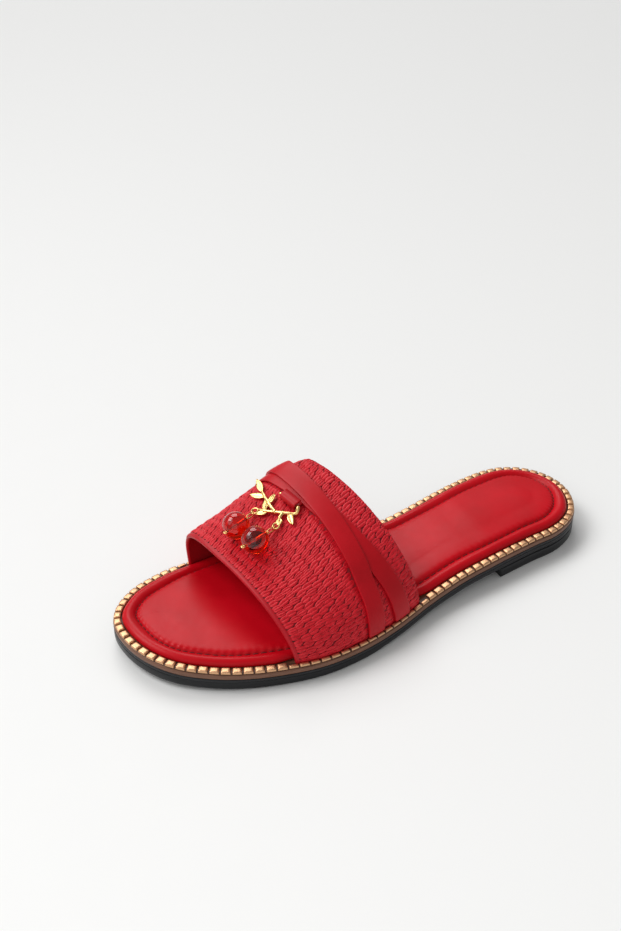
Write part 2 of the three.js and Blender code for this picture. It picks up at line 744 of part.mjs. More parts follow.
// The tab is a strip folded back under itself: seen from the side, a loop that is open to the heel.
const barHeight = weaveTop + tabThickness + barPlay + barRadius;
function makeTab() {
  const round = barHeight - weaveTop; // outer radius of the fold
  const shape = new THREE.Shape();
  const middle = -tabReach + round;
  const holeRadius = round - tabThickness;
  shape.moveTo(0, -round);
  shape.lineTo(middle, -round);
  shape.absarc(middle, 0, round, -Math.PI / 2, Math.PI / 2, true);
  shape.lineTo(0, round);
  shape.lineTo(0, holeRadius);
  shape.lineTo(middle, holeRadius);
  shape.absarc(middle, 0, holeRadius, Math.PI / 2, -Math.PI / 2, false);
  shape.lineTo(0, -holeRadius);
  shape.closePath();
  const options = { depth: tabWidth, bevelEnabled: false, curveSegments: 8 };
  const geometry = new THREE.ExtrudeGeometry(shape, options);
  geometry.translate(0, 0, -tabWidth / 2);
  const upright = new THREE.Matrix4().makeBasis(
    new THREE.Vector3(0, 1, 0),
    new THREE.Vector3(0, 0, 1),
    new THREE.Vector3(1, 0, 0),
  );
  geometry.applyMatrix4(upright);
  return geometry.applyMatrix4(layOnBand(TAB.round, tabRear, barHeight));
}

// A place on the bar's centre line, inside the tab's fold.
const alongBar = (x) => {
  const place = new THREE.Vector3(x, barHeight - weaveTop - tabReach, 0);
  return place.applyMatrix4(layOnBand(TAB.round, tabRear, barHeight));
};

// The tab ends just in front of the lower strap.
const lowerStrapThere = follow(LOWER_STRAP, "round", TAB.round, "along");
const tabRear = lowerStrapThere - (strapWidth / 2 + 2 * gap) / bandFrame(TAB.round, TAB.along).alongLength;

// Ornament

const stemHeight = weaveTop + stemRadius;
// The radius of the link's round ends, to the centre of its wire.
const linkRadius = Math.max(eyeletWire, pinWire) + linkPlay + linkWire;
const eyeletHeight = weaveTop + linkRadius + linkWire; // the link passes under the eyelet's wire

// A pointed leaf with its root at the origin, pointing along +X and flat in the XY plane.
function leafGeometry(size) {
  const length = leafLength * size;
  const steps = 5;
  const profile = Array.from({ length: steps + 1 }, (_, k) => {
    const share = k / steps;
    const width = (leafWidth / 2) * Math.sin(Math.PI * share ** 0.85);
    return new THREE.Vector2(k % steps ? width : 0, share * length);
  });
  const geometry = new THREE.LatheGeometry(profile, 6);
  geometry.scale(1, 1, leafThickness / leafWidth);
  return geometry.rotateZ(-Math.PI / 2);
}

function makeOrnament() {
  const barReach = tabWidth / 2 + barPlay + stemRadius;
  const pieces = [tube([alongBar(-barReach), alongBar(0), alongBar(barReach)], barRadius, 6, 2)];
  STEMS.forEach((stem, n) => {
    const points = stem.map((p) => onBand(p.round, p.along, stemHeight));
    if (n === 0) points.splice(0, 1, alongBar(barReach));
    pieces.push(tube(points, stemRadius, 5, 3 * (points.length - 1)));
  });
  for (const { round, along, turn, size } of LEAVES) {
    const leaf = leafGeometry(size);
    leaf.rotateZ(THREE.MathUtils.degToRad(turn));
    pieces.push(leaf.applyMatrix4(layOnBand(round, along, stemHeight)));
  }
  for (const eyelet of Object.values(EYELETS)) {
    const ring = new THREE.TorusGeometry(eyeletRadius, eyeletWire, 5, 12);
    pieces.push(ring.applyMatrix4(layOnBand(eyelet.round, eyelet.along, eyeletHeight)));
  }
  return joined(pieces);
}

// Drops

// Where one drop hangs: from its eyelet's wire, straight to a bead that just clears the band.
function dropPlan({ round, along, lean }) {
  const lay = layOnBand(round, along, eyeletHeight);
  const centre = new THREE.Vector3().applyMatrix4(lay);
  const toBead = eyeletRadius + linkLength + 2 * pinEyeRadius + pinShow + beadDiameter / 2;
  const clear = weaveTop + beadDiameter / 2;
  let [near, far] = [along, 0];
  for (let k = 0; k < 40; k += 1) {
    const middle = (near + far) / 2;
    if (onBand(round - lean, middle, clear).distanceTo(centre) < toBead) near = middle;
    else far = middle;
  }
  const bead = onBand(round - lean, near, clear);
  const flat = bead.clone().applyMatrix4(lay.clone().invert()).setZ(0);
  const hook = flat.setLength(eyeletRadius).applyMatrix4(lay);
  const way = bead.clone().sub(hook).normalize();
  const across = way.clone().cross(bandFrame(round, near).out).normalize();
  const up = across.clone().cross(way);
  return { hook, way, across, up };
}

// A basis whose x runs down the drop, y across it and z away from the band.
const dropBasis = (plan, distance) =>
  new THREE.Matrix4()
    .makeBasis(plan.way, plan.across.clone().negate(), plan.up)
    .setPosition(plan.hook.clone().addScaledVector(plan.way, distance));

// A ring of wire along a closed line in a plane.
function wireLoop(outline, wire, sides) {
  const count = outline.length;
  const corners = [];
  outline.forEach((point, k) => {
    const tangent = outline[(k + 1) % count].clone().sub(outline[(k + count - 1) % count]).normalize();
    const side = new THREE.Vector3(tangent.y, -tangent.x, 0);
    for (let n = 0; n < sides; n += 1) {
      const angle = (2 * Math.PI * n) / sides;
      const corner = point.clone().addScaledVector(side, wire * Math.cos(angle));
      corners.push(corner.setZ(corner.z + wire * Math.sin(angle)));
    }
  });
  const triangles = [];
  for (let k = 0; k < count; k += 1) {
    for (let n = 0; n < sides; n += 1) {
      const [a, b] = [k * sides + n, k * sides + ((n + 1) % sides)];
      const [c, d] = [((k + 1) % count) * sides + ((n + 1) % sides), ((k + 1) % count) * sides + n];
      triangles.push([a, b, c], [a, c, d]);
    }
  }
  return closedGeometry(corners, triangles);
}

// The link is a long wire ring round the eyelet's wire at one end and the pin's eye at the other.
function makeLink(plan) {
  const start = linkRadius - (eyeletWire + linkPlay + linkWire);
  const end = linkLength - linkRadius + pinWire + linkPlay + linkWire;
  const arc = (centre, from) =>
    Array.from({ length: 6 }, (_, k) => {
      const angle = from + (Math.PI * k) / 5;
      return new THREE.Vector3(centre + linkRadius * Math.cos(angle), linkRadius * Math.sin(angle), 0);
    });
  const geometry = wireLoop([...arc(start, Math.PI / 2), ...arc(end, -Math.PI / 2)], linkWire, 5);
  geometry.rotateX(Math.PI / 2);
  return geometry.applyMatrix4(dropBasis(plan, 0));
}

// The pin: an eye that holds the link's wire, a straight shaft through the bead and a curl below it.
function makePin(plan) {
  const circle = (centre, radius) =>
    Array.from({ length: 10 }, (_, k) => {
      const angle = (2 * Math.PI * k) / 10;
      return new THREE.Vector3(centre + radius * Math.cos(angle), radius * Math.sin(angle), 0);
    });
  const shaftStart = 2 * pinEyeRadius;
  const shaftEnd = shaftStart + pinShow + beadDiameter + pinShow;
  const eye = wireLoop(circle(pinEyeRadius, pinEyeRadius), pinWire, 5);
  const curl = wireLoop(circle(shaftEnd + pinCurlRadius, pinCurlRadius), pinWire, 5);
  const shaft = new THREE.CylinderGeometry(pinWire, pinWire, shaftEnd - shaftStart, 6);
  shaft.rotateZ(Math.PI / 2);
  shaft.translate((shaftStart + shaftEnd) / 2, 0, 0);
  return joined([eye, shaft, curl]).applyMatrix4(dropBasis(plan, linkLength));
}

// A round bead, bored for the pin.
function makeBead(plan) {
  const radius = beadDiameter / 2;
  const bore = pinWire + beadBorePlay;
  const steps = 8;
  const from = Math.asin(bore / radius);
  const profile = Array.from({ length: steps + 1 }, (_, k) => {
    const angle = lerp(from, Math.PI - from, k / steps);
    return new THREE.Vector2(radius * Math.sin(angle), -radius * Math.cos(angle));
  });
  profile.push(profile[0].clone());
  const geometry = new THREE.LatheGeometry(profile, 14);
  geometry.rotateZ(-Math.PI / 2);
  const centre = linkLength + 2 * pinEyeRadius + pinShow + radius;
  return geometry.applyMatrix4(dropBasis(plan, centre));
}

const plans = { a: dropPlan(EYELETS.a), b: dropPlan(EYELETS.b) };

// Meshes

const red = 0xb8141c;
const gold = 0xd9a94c;
const finishes = {
  sole: { color: 0x17181a, roughness: 0.35, metalness: 0 },
  edge: { color: 0x8a5a33, roughness: 0.6, metalness: 0 },
  gold: { color: gold, roughness: 0.3, metalness: 1 },
  leather: { color: red, roughness: 0.45, metalness: 0 },
  woven: { color: red, roughness: 0.7, metalness: 0 },
  glass: { color: 0xa81208, roughness: 0.05, metalness: 0, transparent: true, opacity: 0.7 },
};

const pieces = [
  { name: "outsole", finish: "sole", make: makeOutsole },
  { name: "heel", finish: "sole", make: makeHeel },
  { name: "midsole", finish: "edge", make: makeMidsole },
  { name: "rand", finish: "gold", make: makeRand },
  { name: "insole", finish: "leather", make: makeInsole },
  { name: "band", finish: "woven", make: makeBand },
  { name: "straps", finish: "leather", make: makeStraps },
  { name: "tab", finish: "leather", make: makeTab },
  { name: "ornament", finish: "gold", make: makeOrnament },
  ...["a", "b"].flatMap((side) => [
    { name: `link_${side}`, finish: "gold", make: () => makeLink(plans[side]) },
    { name: `pin_${side}`, finish: "gold", make: () => makePin(plans[side]) },
    { name: `bead_${side}`, finish: "glass", make: () => makeBead(plans[side]) },
  ]),
];

const sandal = new THREE.Group();
for (const { name, finish, make } of pieces) {
  const mesh = new THREE.Mesh(make(), new THREE.MeshStandardMaterial(finishes[finish]));
  mesh.name = name;
  sandal.add(mesh);
}

// The origin lies under the middle of the whole sandal.
const bounds = new THREE.Box3().setFromObject(sandal);
const middle = bounds.getCenter(new THREE.Vector3());
sandal.position.set(-middle.x, -middle.y, -bounds.min.z);

const group = new THREE.Group();
group.add(sandal);

export default group;
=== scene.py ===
import json
import math
import bmesh
import bpy
import numpy as np
from mathutils import Matrix, Vector


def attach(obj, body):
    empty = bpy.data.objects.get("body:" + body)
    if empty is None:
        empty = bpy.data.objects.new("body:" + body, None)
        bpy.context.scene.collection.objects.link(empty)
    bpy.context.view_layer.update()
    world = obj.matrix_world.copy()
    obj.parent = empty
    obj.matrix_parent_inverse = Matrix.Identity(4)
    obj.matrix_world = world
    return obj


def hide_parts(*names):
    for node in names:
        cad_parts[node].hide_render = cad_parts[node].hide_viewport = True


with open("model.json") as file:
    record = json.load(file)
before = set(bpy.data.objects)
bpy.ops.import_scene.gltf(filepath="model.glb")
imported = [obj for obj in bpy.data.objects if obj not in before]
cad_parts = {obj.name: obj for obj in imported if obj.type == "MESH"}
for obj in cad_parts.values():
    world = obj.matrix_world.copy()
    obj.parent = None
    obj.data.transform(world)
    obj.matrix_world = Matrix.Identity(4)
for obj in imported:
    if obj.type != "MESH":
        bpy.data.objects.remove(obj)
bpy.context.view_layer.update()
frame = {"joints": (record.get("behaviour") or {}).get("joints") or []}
rng = np.random.default_rng(7)

# Sizes in millimetres, in the last's frame: the toe tip is the origin, +x the outer side, +y the heel.
SHIFT = np.array([-11.3744, -126.6, 0.0])  # from the last's frame to the row frame
SOLE_LENGTH = 253.2
BALL_WIDTH = 94.9
HEEL_WIDTH = 64
TOE_SPRING = 2.9
OUTSOLE_THICKNESS = 5.9
TREAD_ROUND = 1.3
STRIP_HEIGHT = 1.5
MIDSOLE_THICKNESS = 2.5
HEEL_HEIGHT = 5.3
HEEL_LENGTH = 64.5
GAP = 0.3
RAND_INSET = 0.5
RAND_WIDTH = 3.3
RAND_FOOT_WIDTH = 1.7
RAND_PITCH = 5.1
RAND_GAP = 0.9
INSOLE_THICKNESS = 3.5
INSOLE_SQUEEZE = 1.7
SQUEEZE_RUN = 12
STITCH_PITCH = 3.6
CHANNEL = 5.8
BAND_WALL = 2
BAND_FRONT_HEIGHT = 26.8
BAND_INSTEP_HEIGHT = 50
BAND_BOW = 2.3
BAND_BULGE = 2.8
BINDING = 1.5
ROW_PITCH = 4.35
ROW_SHIFT = 0.45
PADS_ROUND = 41
WEAVE_TOP = 1.0
STRAP_WIDTH = 9.4
STRAP_THICKNESS = 1.25
STRAP_BASE = 0.4
TAB_WIDTH = 10.5
TAB_THICKNESS = 1.0
TAB_REACH = 4.6
STEM_RADIUS = 1.0
BAR_RADIUS = 0.75
BAR_PLAY = 0.25
LEAF_LENGTH = 9
LEAF_WIDTH = 3.4
EYELET_WIRE = 0.5
EYELET_RADIUS = 1.6
LINK_WIRE = 0.35
LINK_PLAY = 0.2
LINK_LENGTH = 4.2
PIN_WIRE = 0.35
PIN_EYE = 1.0
PIN_CURL = 0.85
PIN_SHOW = 0.4
BEAD_DIAMETER = 13.2

# How finely the shapes are stepped.
OUTLINE_STEPS = 60
RING_STEPS = 900
EDGE_STEPS = 1440
THREAD_SIDES = 6
WIRE_SIDES = 10
BEAD_SIDES = 96
CAP_STEPS = (0.4, 0.75, 0.95)
ASKEW = (0.3, 0.2, 0.93)  # no tube starts along this way

# The sole's outline from the toe tip round the outer side: along, share of the ball's and the heel's width.
OUTLINE = [
    (0, 0, 0), (0.0126, 0.192, 0), (0.0513, 0.359, 0), (0.1157, 0.484, 0), (0.1923, 0.569, 0),
    (0.3002, 0.63, 0), (0.3827, 0.62, 0), (0.4775, 0.562, 0), (0.56, 0.24, 0.371), (0.6374, 0.12, 0.472),
    (0.7393, 0, 0.588), (0.8333, 0, 0.531), (0.8867, 0, 0.506), (0.9265, 0, 0.452), (0.9629, 0, 0.353),
    (0.9901, 0, 0.184), (1, 0, -0.016), (0.9878, 0, -0.208), (0.9605, 0, -0.35), (0.9226, 0, -0.441),
    (0.8764, 0, -0.473), (0.8057, 0, -0.444), (0.7251, 0, -0.378), (0.6445, 0, -0.312), (0.5821, 0, -0.287),
    (0.5136, -0.16, -0.116), (0.4419, -0.27, -0.05), (0.3716, -0.352, 0), (0.2962, -0.372, 0),
    (0.1975, -0.347, 0), (0.128, -0.314, 0), (0.0577, -0.231, 0), (0.0122, -0.105, 0),
]
# The sole from the side: along, share of the toe spring, of the heel's height and of the thickness.
PROFILE = np.array([
    (0, 1, 0, 1.05), (0.05, 0.69, 0, 1.03), (0.1, 0.38, 0, 1), (0.16, 0.12, 0, 1), (0.21, 0, 0, 1),
    (0.3, 0, 0, 0.98), (0.4, 0, 0, 0.93), (0.48, 0, 0.22, 0.78), (0.6, 0, 0.6, 0.745),
    (0.7, 0, 0.93, 0.745), (0.755, 0, 1, 0.78), (1, 0, 1, 0.78),
])
# Where the band's feet stand, as shares of the sole's length: outer and inner, front and rear.
FEET = {"outer": (0.263, 0.535), "inner": (0.191, 0.434)}
# The band's sections: along, rise, crown, outer power, inner power, bulge.
SECTIONS = np.array([
    (0, 0, 0.6, 2, 4, 0.75),
    (0.3, 0.24, 0.66, 1.92, 4.6, 0.9),
    (0.55, 0.53, 0.73, 1.84, 5.4, 1.1),
    (0.8, 0.84, 0.82, 1.75, 6.2, 1.4),
    (1, 1, 0.885, 1.68, 7, 1.7),
])
# Centre lines of the straps: round, along, and 1 where the upper strap lies on the lower one.
UPPER_STRAP = np.array([
    (0.0, 0.583, 0), (0.02, 0.59, 0), (0.1, 0.627, 0), (0.17, 0.645, 0), (0.25, 0.672, 1), (0.35, 0.707, 1),
    (0.5, 0.75, 1), (0.65, 0.79, 1), (0.84, 0.83, 1), (0.94, 0.85, 0), (1.0, 0.858, 0),
])
LOWER_STRAP = np.array([
    (0.0, 0.821, 0), (0.02, 0.82, 0), (0.1, 0.815, 0), (0.2, 0.788, 0), (0.3, 0.757, 0), (0.4, 0.736, 0),
    (0.5, 0.728, 0), (0.68, 0.72, 0), (0.84, 0.69, 0), (1.0, 0.652, 0),
])
# Tab, eyelets and stems of the ornament: round, along.
TAB = (0.543, 0.625)
EYELETS = {"a": (0.619, 0.408), "b": (0.507, 0.42)}
STEMS = [
    [(0.489, 0.628), (0.494, 0.58), (0.518, 0.535), (0.553, 0.493), (0.59, 0.452), (0.617, 0.435)],
    [(0.53, 0.52), (0.524, 0.48), (0.51, 0.446)],
    [(0.556, 0.49), (0.6, 0.513), (0.635, 0.535), (0.66, 0.555)],
]
# Leaves: round, along, the way each points (0 to the outer side, 90 to the heel) and its size.
LEAVES = [
    (0.658, 0.553, 156, 1), (0.634, 0.535, 205, 0.95), (0.602, 0.512, 103, 0.65),
    (0.578, 0.467, 232, 0.7), (0.592, 0.455, 132, 0.85), (0.512, 0.543, -25, 0.75),
    (0.523, 0.475, -42, 0.5),
]


# Curves

def follow(rows, column, x):
    """A smooth curve through a table's rows that never swings past them."""
    xs = rows[:, 0]
    ys = rows[:, column]
    x = np.clip(x, xs[0], xs[-1])
    slope = np.diff(ys) / np.diff(xs)
    tangent = np.zeros(len(xs))
    tangent[0] = slope[0]
    tangent[-1] = slope[-1]
    before, after = slope[:-1], slope[1:]
    same = before * after > 0
    total = np.where(same, before + after, 1)
    tangent[1:-1] = np.where(same, 2 * before * after / total, 0)
    k = np.clip(np.searchsorted(xs, x, side="right") - 1, 0, len(xs) - 2)
    width = xs[k + 1] - xs[k]
    t = (x - xs[k]) / width
    return (
        ys[k] * (2 * t**3 - 3 * t**2 + 1)
        + tangent[k] * width * (t**3 - 2 * t**2 + t)
        + ys[k + 1] * (3 * t**2 - 2 * t**3)
        + tangent[k + 1] * width * (t**3 - t**2)
    )


def smoothstep(x, low, high):
    t = np.clip((x - low) / (high - low), 0, 1)
    return t * t * (3 - 2 * t)


def catmull(points, closed, per):
    """Points and tangents of a centripetal curve, per steps to a span."""
    points = np.asarray(points, float)
    count = len(points)
    spans = count if closed else count - 1
    out = []
    tangents = []
    share = np.arange(per) / per
    for k in range(spans):
        p1, p2 = points[k % count], points[(k + 1) % count]
        p0 = points[(k - 1) % count] if closed or k else 2 * p1 - p2
        p3 = points[(k + 2) % count] if closed or k + 2 < count else 2 * p2 - p1
        d0, d1, d2 = (max(np.linalg.norm(b - a), 1e-6) ** 0.5 for a, b in ((p0, p1), (p1, p2), (p2, p3)))
        m1 = ((p1 - p0) / d0 - (p2 - p0) / (d0 + d1) + (p2 - p1) / d1) * d1
        m2 = ((p2 - p1) / d1 - (p3 - p1) / (d1 + d2) + (p3 - p2) / d2) * d1
        t = share[:, None]
        c2 = -3 * p1 + 3 * p2 - 2 * m1 - m2
        c3 = 2 * p1 - 2 * p2 + m1 + m2
        out.append(p1 + m1 * t + c2 * t**2 + c3 * t**3)
        tangents.append(m1 + 2 * c2 * t + 3 * c3 * t**2)
    if not closed:
        out.append(points[-1][None])
        tangents.append(tangents[-1][-1][None])
    return np.concatenate(out), unit(np.concatenate(tangents))


def unit(vectors):
    return vectors / np.linalg.norm(vectors, axis=-1, keepdims=True)


# Sole outline

table = np.array(OUTLINE)
outline_x = table[:, 1] * BALL_WIDTH + table[:, 2] * HEEL_WIDTH
outline_y = table[:, 0] * SOLE_LENGTH
line, line_tangent = catmull(np.column_stack([outline_x, outline_y]), True, OUTLINE_STEPS)
heel_row = int(np.argmax(table[:, 0]))
line = np.concatenate([line, line[:1]])
line_tangent = np.concatenate([line_tangent, line_tangent[:1]])
run = np.concatenate([[0], np.cumsum(np.linalg.norm(np.diff(line, axis=0), axis=1))])
OUTER_LENGTH = run[heel_row * OUTLINE_STEPS]
WHOLE_LENGTH = run[-1]


def outline_at(s):
    """Place and outward normal on the outline at a length from the toe tip round the outer side."""
    s = np.mod(s, WHOLE_LENGTH)
    x = np.interp(s, run, line[:, 0])
    y = np.interp(s, run, line[:, 1])
    tx = np.interp(s, run, line_tangent[:, 0])
    ty = np.interp(s, run, line_tangent[:, 1])
    size = np.hypot(tx, ty)
    return x, y, ty / size, -tx / size


def inset_at(s, away):
    """Places at lengths on the outline, moved inward."""
    x, y, nx, ny = outline_at(s)
    return x - nx * away, y - ny * away


def even_lengths(count):
    """Lengths of an even number of places, half on each side."""
    half = count // 2
    outer = OUTER_LENGTH * np.arange(half) / half
    inner = OUTER_LENGTH + (WHOLE_LENGTH - OUTER_LENGTH) * np.arange(half) / half
    return np.concatenate([outer, inner])


def profile(column, y):
    return follow(PROFILE, column, np.asarray(y) / SOLE_LENGTH)


def ground(y):
    return 0 * y


def underside(y):
    return TOE_SPRING * profile(1, y) + HEEL_HEIGHT * profile(2, y)


def outsole_top(y):
    return underside(y) + OUTSOLE_THICKNESS * profile(3, y)


def strip_bottom(y):
    return outsole_top(y) - STRIP_HEIGHT


def midsole_bottom(y):
    return outsole_top(y) + GAP


def midsole_top(y):
    return midsole_bottom(y) + MIDSOLE_THICKNESS


def top_gap(y):
    return midsole_top(y) + GAP


def ring(level, inward, rise):
    """A ring round the sole: height above a level, and distance in from the outline."""
    x, y = inset_at(even_lengths(RING_STEPS), inward)
    return np.column_stack([x, y, level(y) + rise])


def edge_at(outer, y, inward):
    """Where the outline, moved inward, lies across at y, on the outer or the inner side."""
    half = EDGE_STEPS // 2
    side = slice(1, half) if outer else slice(half + 1, None)
    xs, ys = inset_at(even_lengths(EDGE_STEPS)[side], inward)
    order = np.argsort(ys)
    return np.interp(y, ys[order], xs[order])


# Meshes

def to_row(points):
    return (np.asarray(points, float) + SHIFT) * 0.001


def build(name, points, faces, material, slot, body="sandal", recalc=True):
    """A piece from points in the last's frame, riding on a body; recalc turns all its faces outward."""
    mesh = bpy.data.meshes.new(name)
    mesh.from_pydata([tuple(p) for p in to_row(points)], [], [tuple(f) for f in faces])
    if recalc:
        work = bmesh.new()
        work.from_mesh(mesh)
        bmesh.ops.recalc_face_normals(work, faces=work.faces)
        work.to_mesh(mesh)
        work.free()
    mesh.polygons.foreach_set("use_smooth", [True] * len(mesh.polygons))
    mesh.materials.append(material)
    mesh.update()
    piece = bpy.data.objects.new(name, mesh)
    bpy.context.collection.objects.link(piece)
    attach(piece, body)
    return piece


def grid_faces(rows, columns, wrap=False, start=0):
    """Quads between rows of corners."""
    r = np.arange(rows - 1)[:, None]
    c = np.arange(columns if wrap else columns - 1)[None, :]
    n = (c + 1) % columns
    a = r * columns + c
    b = r * columns + n
    quads = np.stack([a, b, b + columns, a + columns], axis=-1) + start
    return quads.reshape(-1, 4).tolist()


class Parts:
    """Collects points and faces of many small shapes for one mesh."""

    def __init__(self):
        self.points = []
        self.faces = []
        self.count = 0

    def add(self, points, faces):
        self.points.append(np.asarray(points, float))
        self.faces += [[i + self.count for i in face] for face in faces]
        self.count += len(points)

    def build(self, name, material, slot, body="sandal", recalc=False):
        return build(name, np.concatenate(self.points), self.faces, material, slot, body, recalc)


def stack(rings, seam=0):
    """Points and faces of rings stacked upwards, closed below and above by faces across the rings."""
    count = len(rings[0])
    top = (len(rings) - 1) * count
    faces = grid_faces(len(rings), count, wrap=True)
    for k in range(count // 2):
        back = count - seam - k
        face = list(dict.fromkeys([k, k + 1, back - 1, back % count]))
        if len(face) > 2:
            faces.append(face[::-1])
            faces.append([top + corner for corner in face])
    return np.concatenate(rings), faces


def tube(points, radii, sides=12, closed=False):
    """A tube along points, with rounded ends unless it is closed."""
    points = np.asarray(points, float)
    radii = np.broadcast_to(np.asarray(radii, float), (len(points),))
    if closed:
        tangent = np.roll(points, -1, 0) - np.roll(points, 1, 0)
    else:
        tangent = np.gradient(points, axis=0)
    tangent = unit(tangent)
    normal = unit(np.cross(tangent[0], ASKEW))
    angle = 2 * np.pi * np.arange(sides) / sides
    rows = []
    for point, radius, way in zip(points, radii, tangent):
        normal = unit(normal - way * normal.dot(way))
        circle = np.cos(angle)[:, None] * normal + np.sin(angle)[:, None] * np.cross(way, normal)
        rows.append(point + radius * circle)
    if closed:
        rows.append(rows[0])
        return np.concatenate(rows), grid_faces(len(rows), sides, wrap=True)
    head = []
    tail = []
    for lift in CAP_STEPS:
        shrink = math.sqrt(1 - lift * lift)
        head.insert(0, points[0] - tangent[0] * radii[0] * lift + (rows[0] - points[0]) * shrink)
        tail.append(points[-1] + tangent[-1] * radii[-1] * lift + (rows[-1] - points[-1]) * shrink)
    rows = head + rows + tail
    last = (len(rows) - 1) * sides
    faces = grid_faces(len(rows), sides, wrap=True)
    faces.append(list(range(sides))[::-1])
    faces.append([last + k for k in range(sides)])
    return np.concatenate(rows), faces


# Materials

def feed(material, made, inputs):
    """Sets a node's inputs by name: an output is linked to them, anything else is a constant."""
    for key, value in inputs.items():
        socket = made.inputs[key.replace("_", " ")]
        if isinstance(value, bpy.types.NodeSocket):
            material.node_tree.links.new(value, socket)
        else:
            socket.default_value = value


def new_material(name, color, roughness, **inputs):
    """A material and its shader."""
    material = bpy.data.materials.new(name)
    material.use_nodes = True
    shader = material.node_tree.nodes["Principled BSDF"]
    feed(material, shader, {"Base Color": (*color, 1), "Roughness": roughness, **inputs})
    return material, shader


def node(material, kind, **inputs):
    made = material.node_tree.nodes.new(kind)
    feed(material, made, inputs)
    return made


def coordinates(material, scale=(1000, 1000, 1000)):
    """Object coordinates in millimetres, stretched by scale."""
    place = node(material, "ShaderNodeTexCoord").outputs["Object"]
    return node(material, "ShaderNodeMapping", Vector=place, Scale=scale).outputs["Vector"]


def noise(material, vector, scale, detail=3.0, roughness=0.55):
    made = node(
        material, "ShaderNodeTexNoise", Vector=vector, Scale=scale, Detail=detail, Roughness=roughness
    )
    return made.outputs["Fac"]


def ramp(material, value, stops):
    made = node(material, "ShaderNodeValToRGB", Fac=value)
    elements = made.color_ramp.elements
    while len(elements) < len(stops):
        elements.new(0.5)
    for element, (position, color) in zip(elements, stops):
        element.position = position
        element.color = (*color, 1)
    return made.outputs["Color"]


def span(material, value, low, high, value_max=1):
    """A value mapped from 0..value_max to low..high."""
    made = node(material, "ShaderNodeMapRange", Value=value, From_Max=value_max, To_Min=low, To_Max=high)
    return made.outputs["Result"]


def bump(material, height, strength, distance, **below):
    made = node(material, "ShaderNodeBump", Height=height, Strength=strength, Distance=distance, **below)
    return made.outputs["Normal"]


def uneven_gloss(material, shader, low, high, scale, detail=3):
    """Roughness that wanders between low and high."""
    cloud = noise(material, coordinates(material), scale, detail)
    feed(material, shader, {"Roughness": span(material, cloud, low, high)})


def leather(name, dark, light, roughness, grain, grain_scale, gloss):
    """Smooth leather: fine pebbled grain, slight colour drift and uneven gloss."""
    material, shader = new_material(name, light, roughness, Specular_IOR_Level=gloss)
    uneven_gloss(material, shader, roughness - 0.06, roughness + 0.08, scale=0.3)
    where = coordinates(material)
    cells = node(material, "ShaderNodeTexVoronoi", Vector=where, Scale=grain_scale)
    cells.feature = "DISTANCE_TO_EDGE"
    pebble = span(material, cells.outputs["Distance"], 0, 1, value_max=0.25)
    fine = bump(material, pebble, 0.12 * grain, 0.00006)
    soft = bump(material, noise(material, where, scale=0.9, detail=5), 0.2 * grain, 0.0001, Normal=fine)
    cloud = noise(material, where, scale=0.045, detail=4)
    color = ramp(material, cloud, [(0.3, dark), (0.7, light)])
    feed(material, shader, {"Base Color": color, "Normal": soft})
    return material


def weave_material():
    """Fibres with streaks along them, and a drift of tone from pad to pad."""
    material, shader = new_material("weave_fibre", (0.46, 0.012, 0.022), 0.5, Specular_IOR_Level=0.3)
    tone = noise(material, coordinates(material), 0.35)
    streak = noise(material, coordinates(material, (2600, 700, 2600)), 1.0, detail=4, roughness=0.6)
    mixed = node(material, "ShaderNodeMix", Factor=0.45, A=tone, B=streak)
    color = ramp(
        material, mixed.outputs["Result"],
        [(0.3, (0.44, 0.002, 0.009)), (0.5, (0.64, 0.007, 0.018)), (0.72, (0.78, 0.028, 0.042))],
    )
    gloss = span(material, streak, 0.34, 0.58)
    relief = bump(material, streak, 0.5, 0.00012)
    feed(material, shader, {"Base Color": color, "Roughness": gloss, "Normal": relief})
    return material


def gold_material(name, color, roughness, dents):
    material, shader = new_material(name, color, roughness, Metallic=1.0)
    uneven_gloss(material, shader, roughness - 0.05, roughness + 0.1, scale=0.8)
    hammered = noise(material, coordinates(material), scale=1.1, detail=2)
    feed(material, shader, {"Normal": bump(material, hammered, dents, 0.00015)})
    return material


def edge_material(name, dark, light, roughness, stretch_z=2500, gloss=0.5):
    """A cut and painted leather edge, with faint layers along it."""
    material, shader = new_material(name, light, roughness, Specular_IOR_Level=gloss)
    uneven_gloss(material, shader, roughness - 0.06, roughness + 0.1, scale=0.5, detail=4)
    layers = noise(material, coordinates(material, (120, 120, stretch_z)), 1.0, detail=4, roughness=0.6)
    color = ramp(material, layers, [(0.3, dark), (0.7, light)])
    feed(material, shader, {"Base Color": color, "Normal": bump(material, layers, 0.15, 0.0001)})
    return material


def glass_material():
    """Clear glass with clouds of deeper and lighter red."""
    material, shader = new_material("amber_glass", (0.9, 0.05, 0.01), 0.02, IOR=1.5, Transmission_Weight=1.0)
    cloud = noise(material, coordinates(material), scale=0.12, detail=2)
    color = ramp(material, cloud, [(0.35, (0.60, 0.004, 0.001)), (0.62, (0.93, 0.055, 0.007))])
    feed(material, shader, {"Base Color": color})
    return material


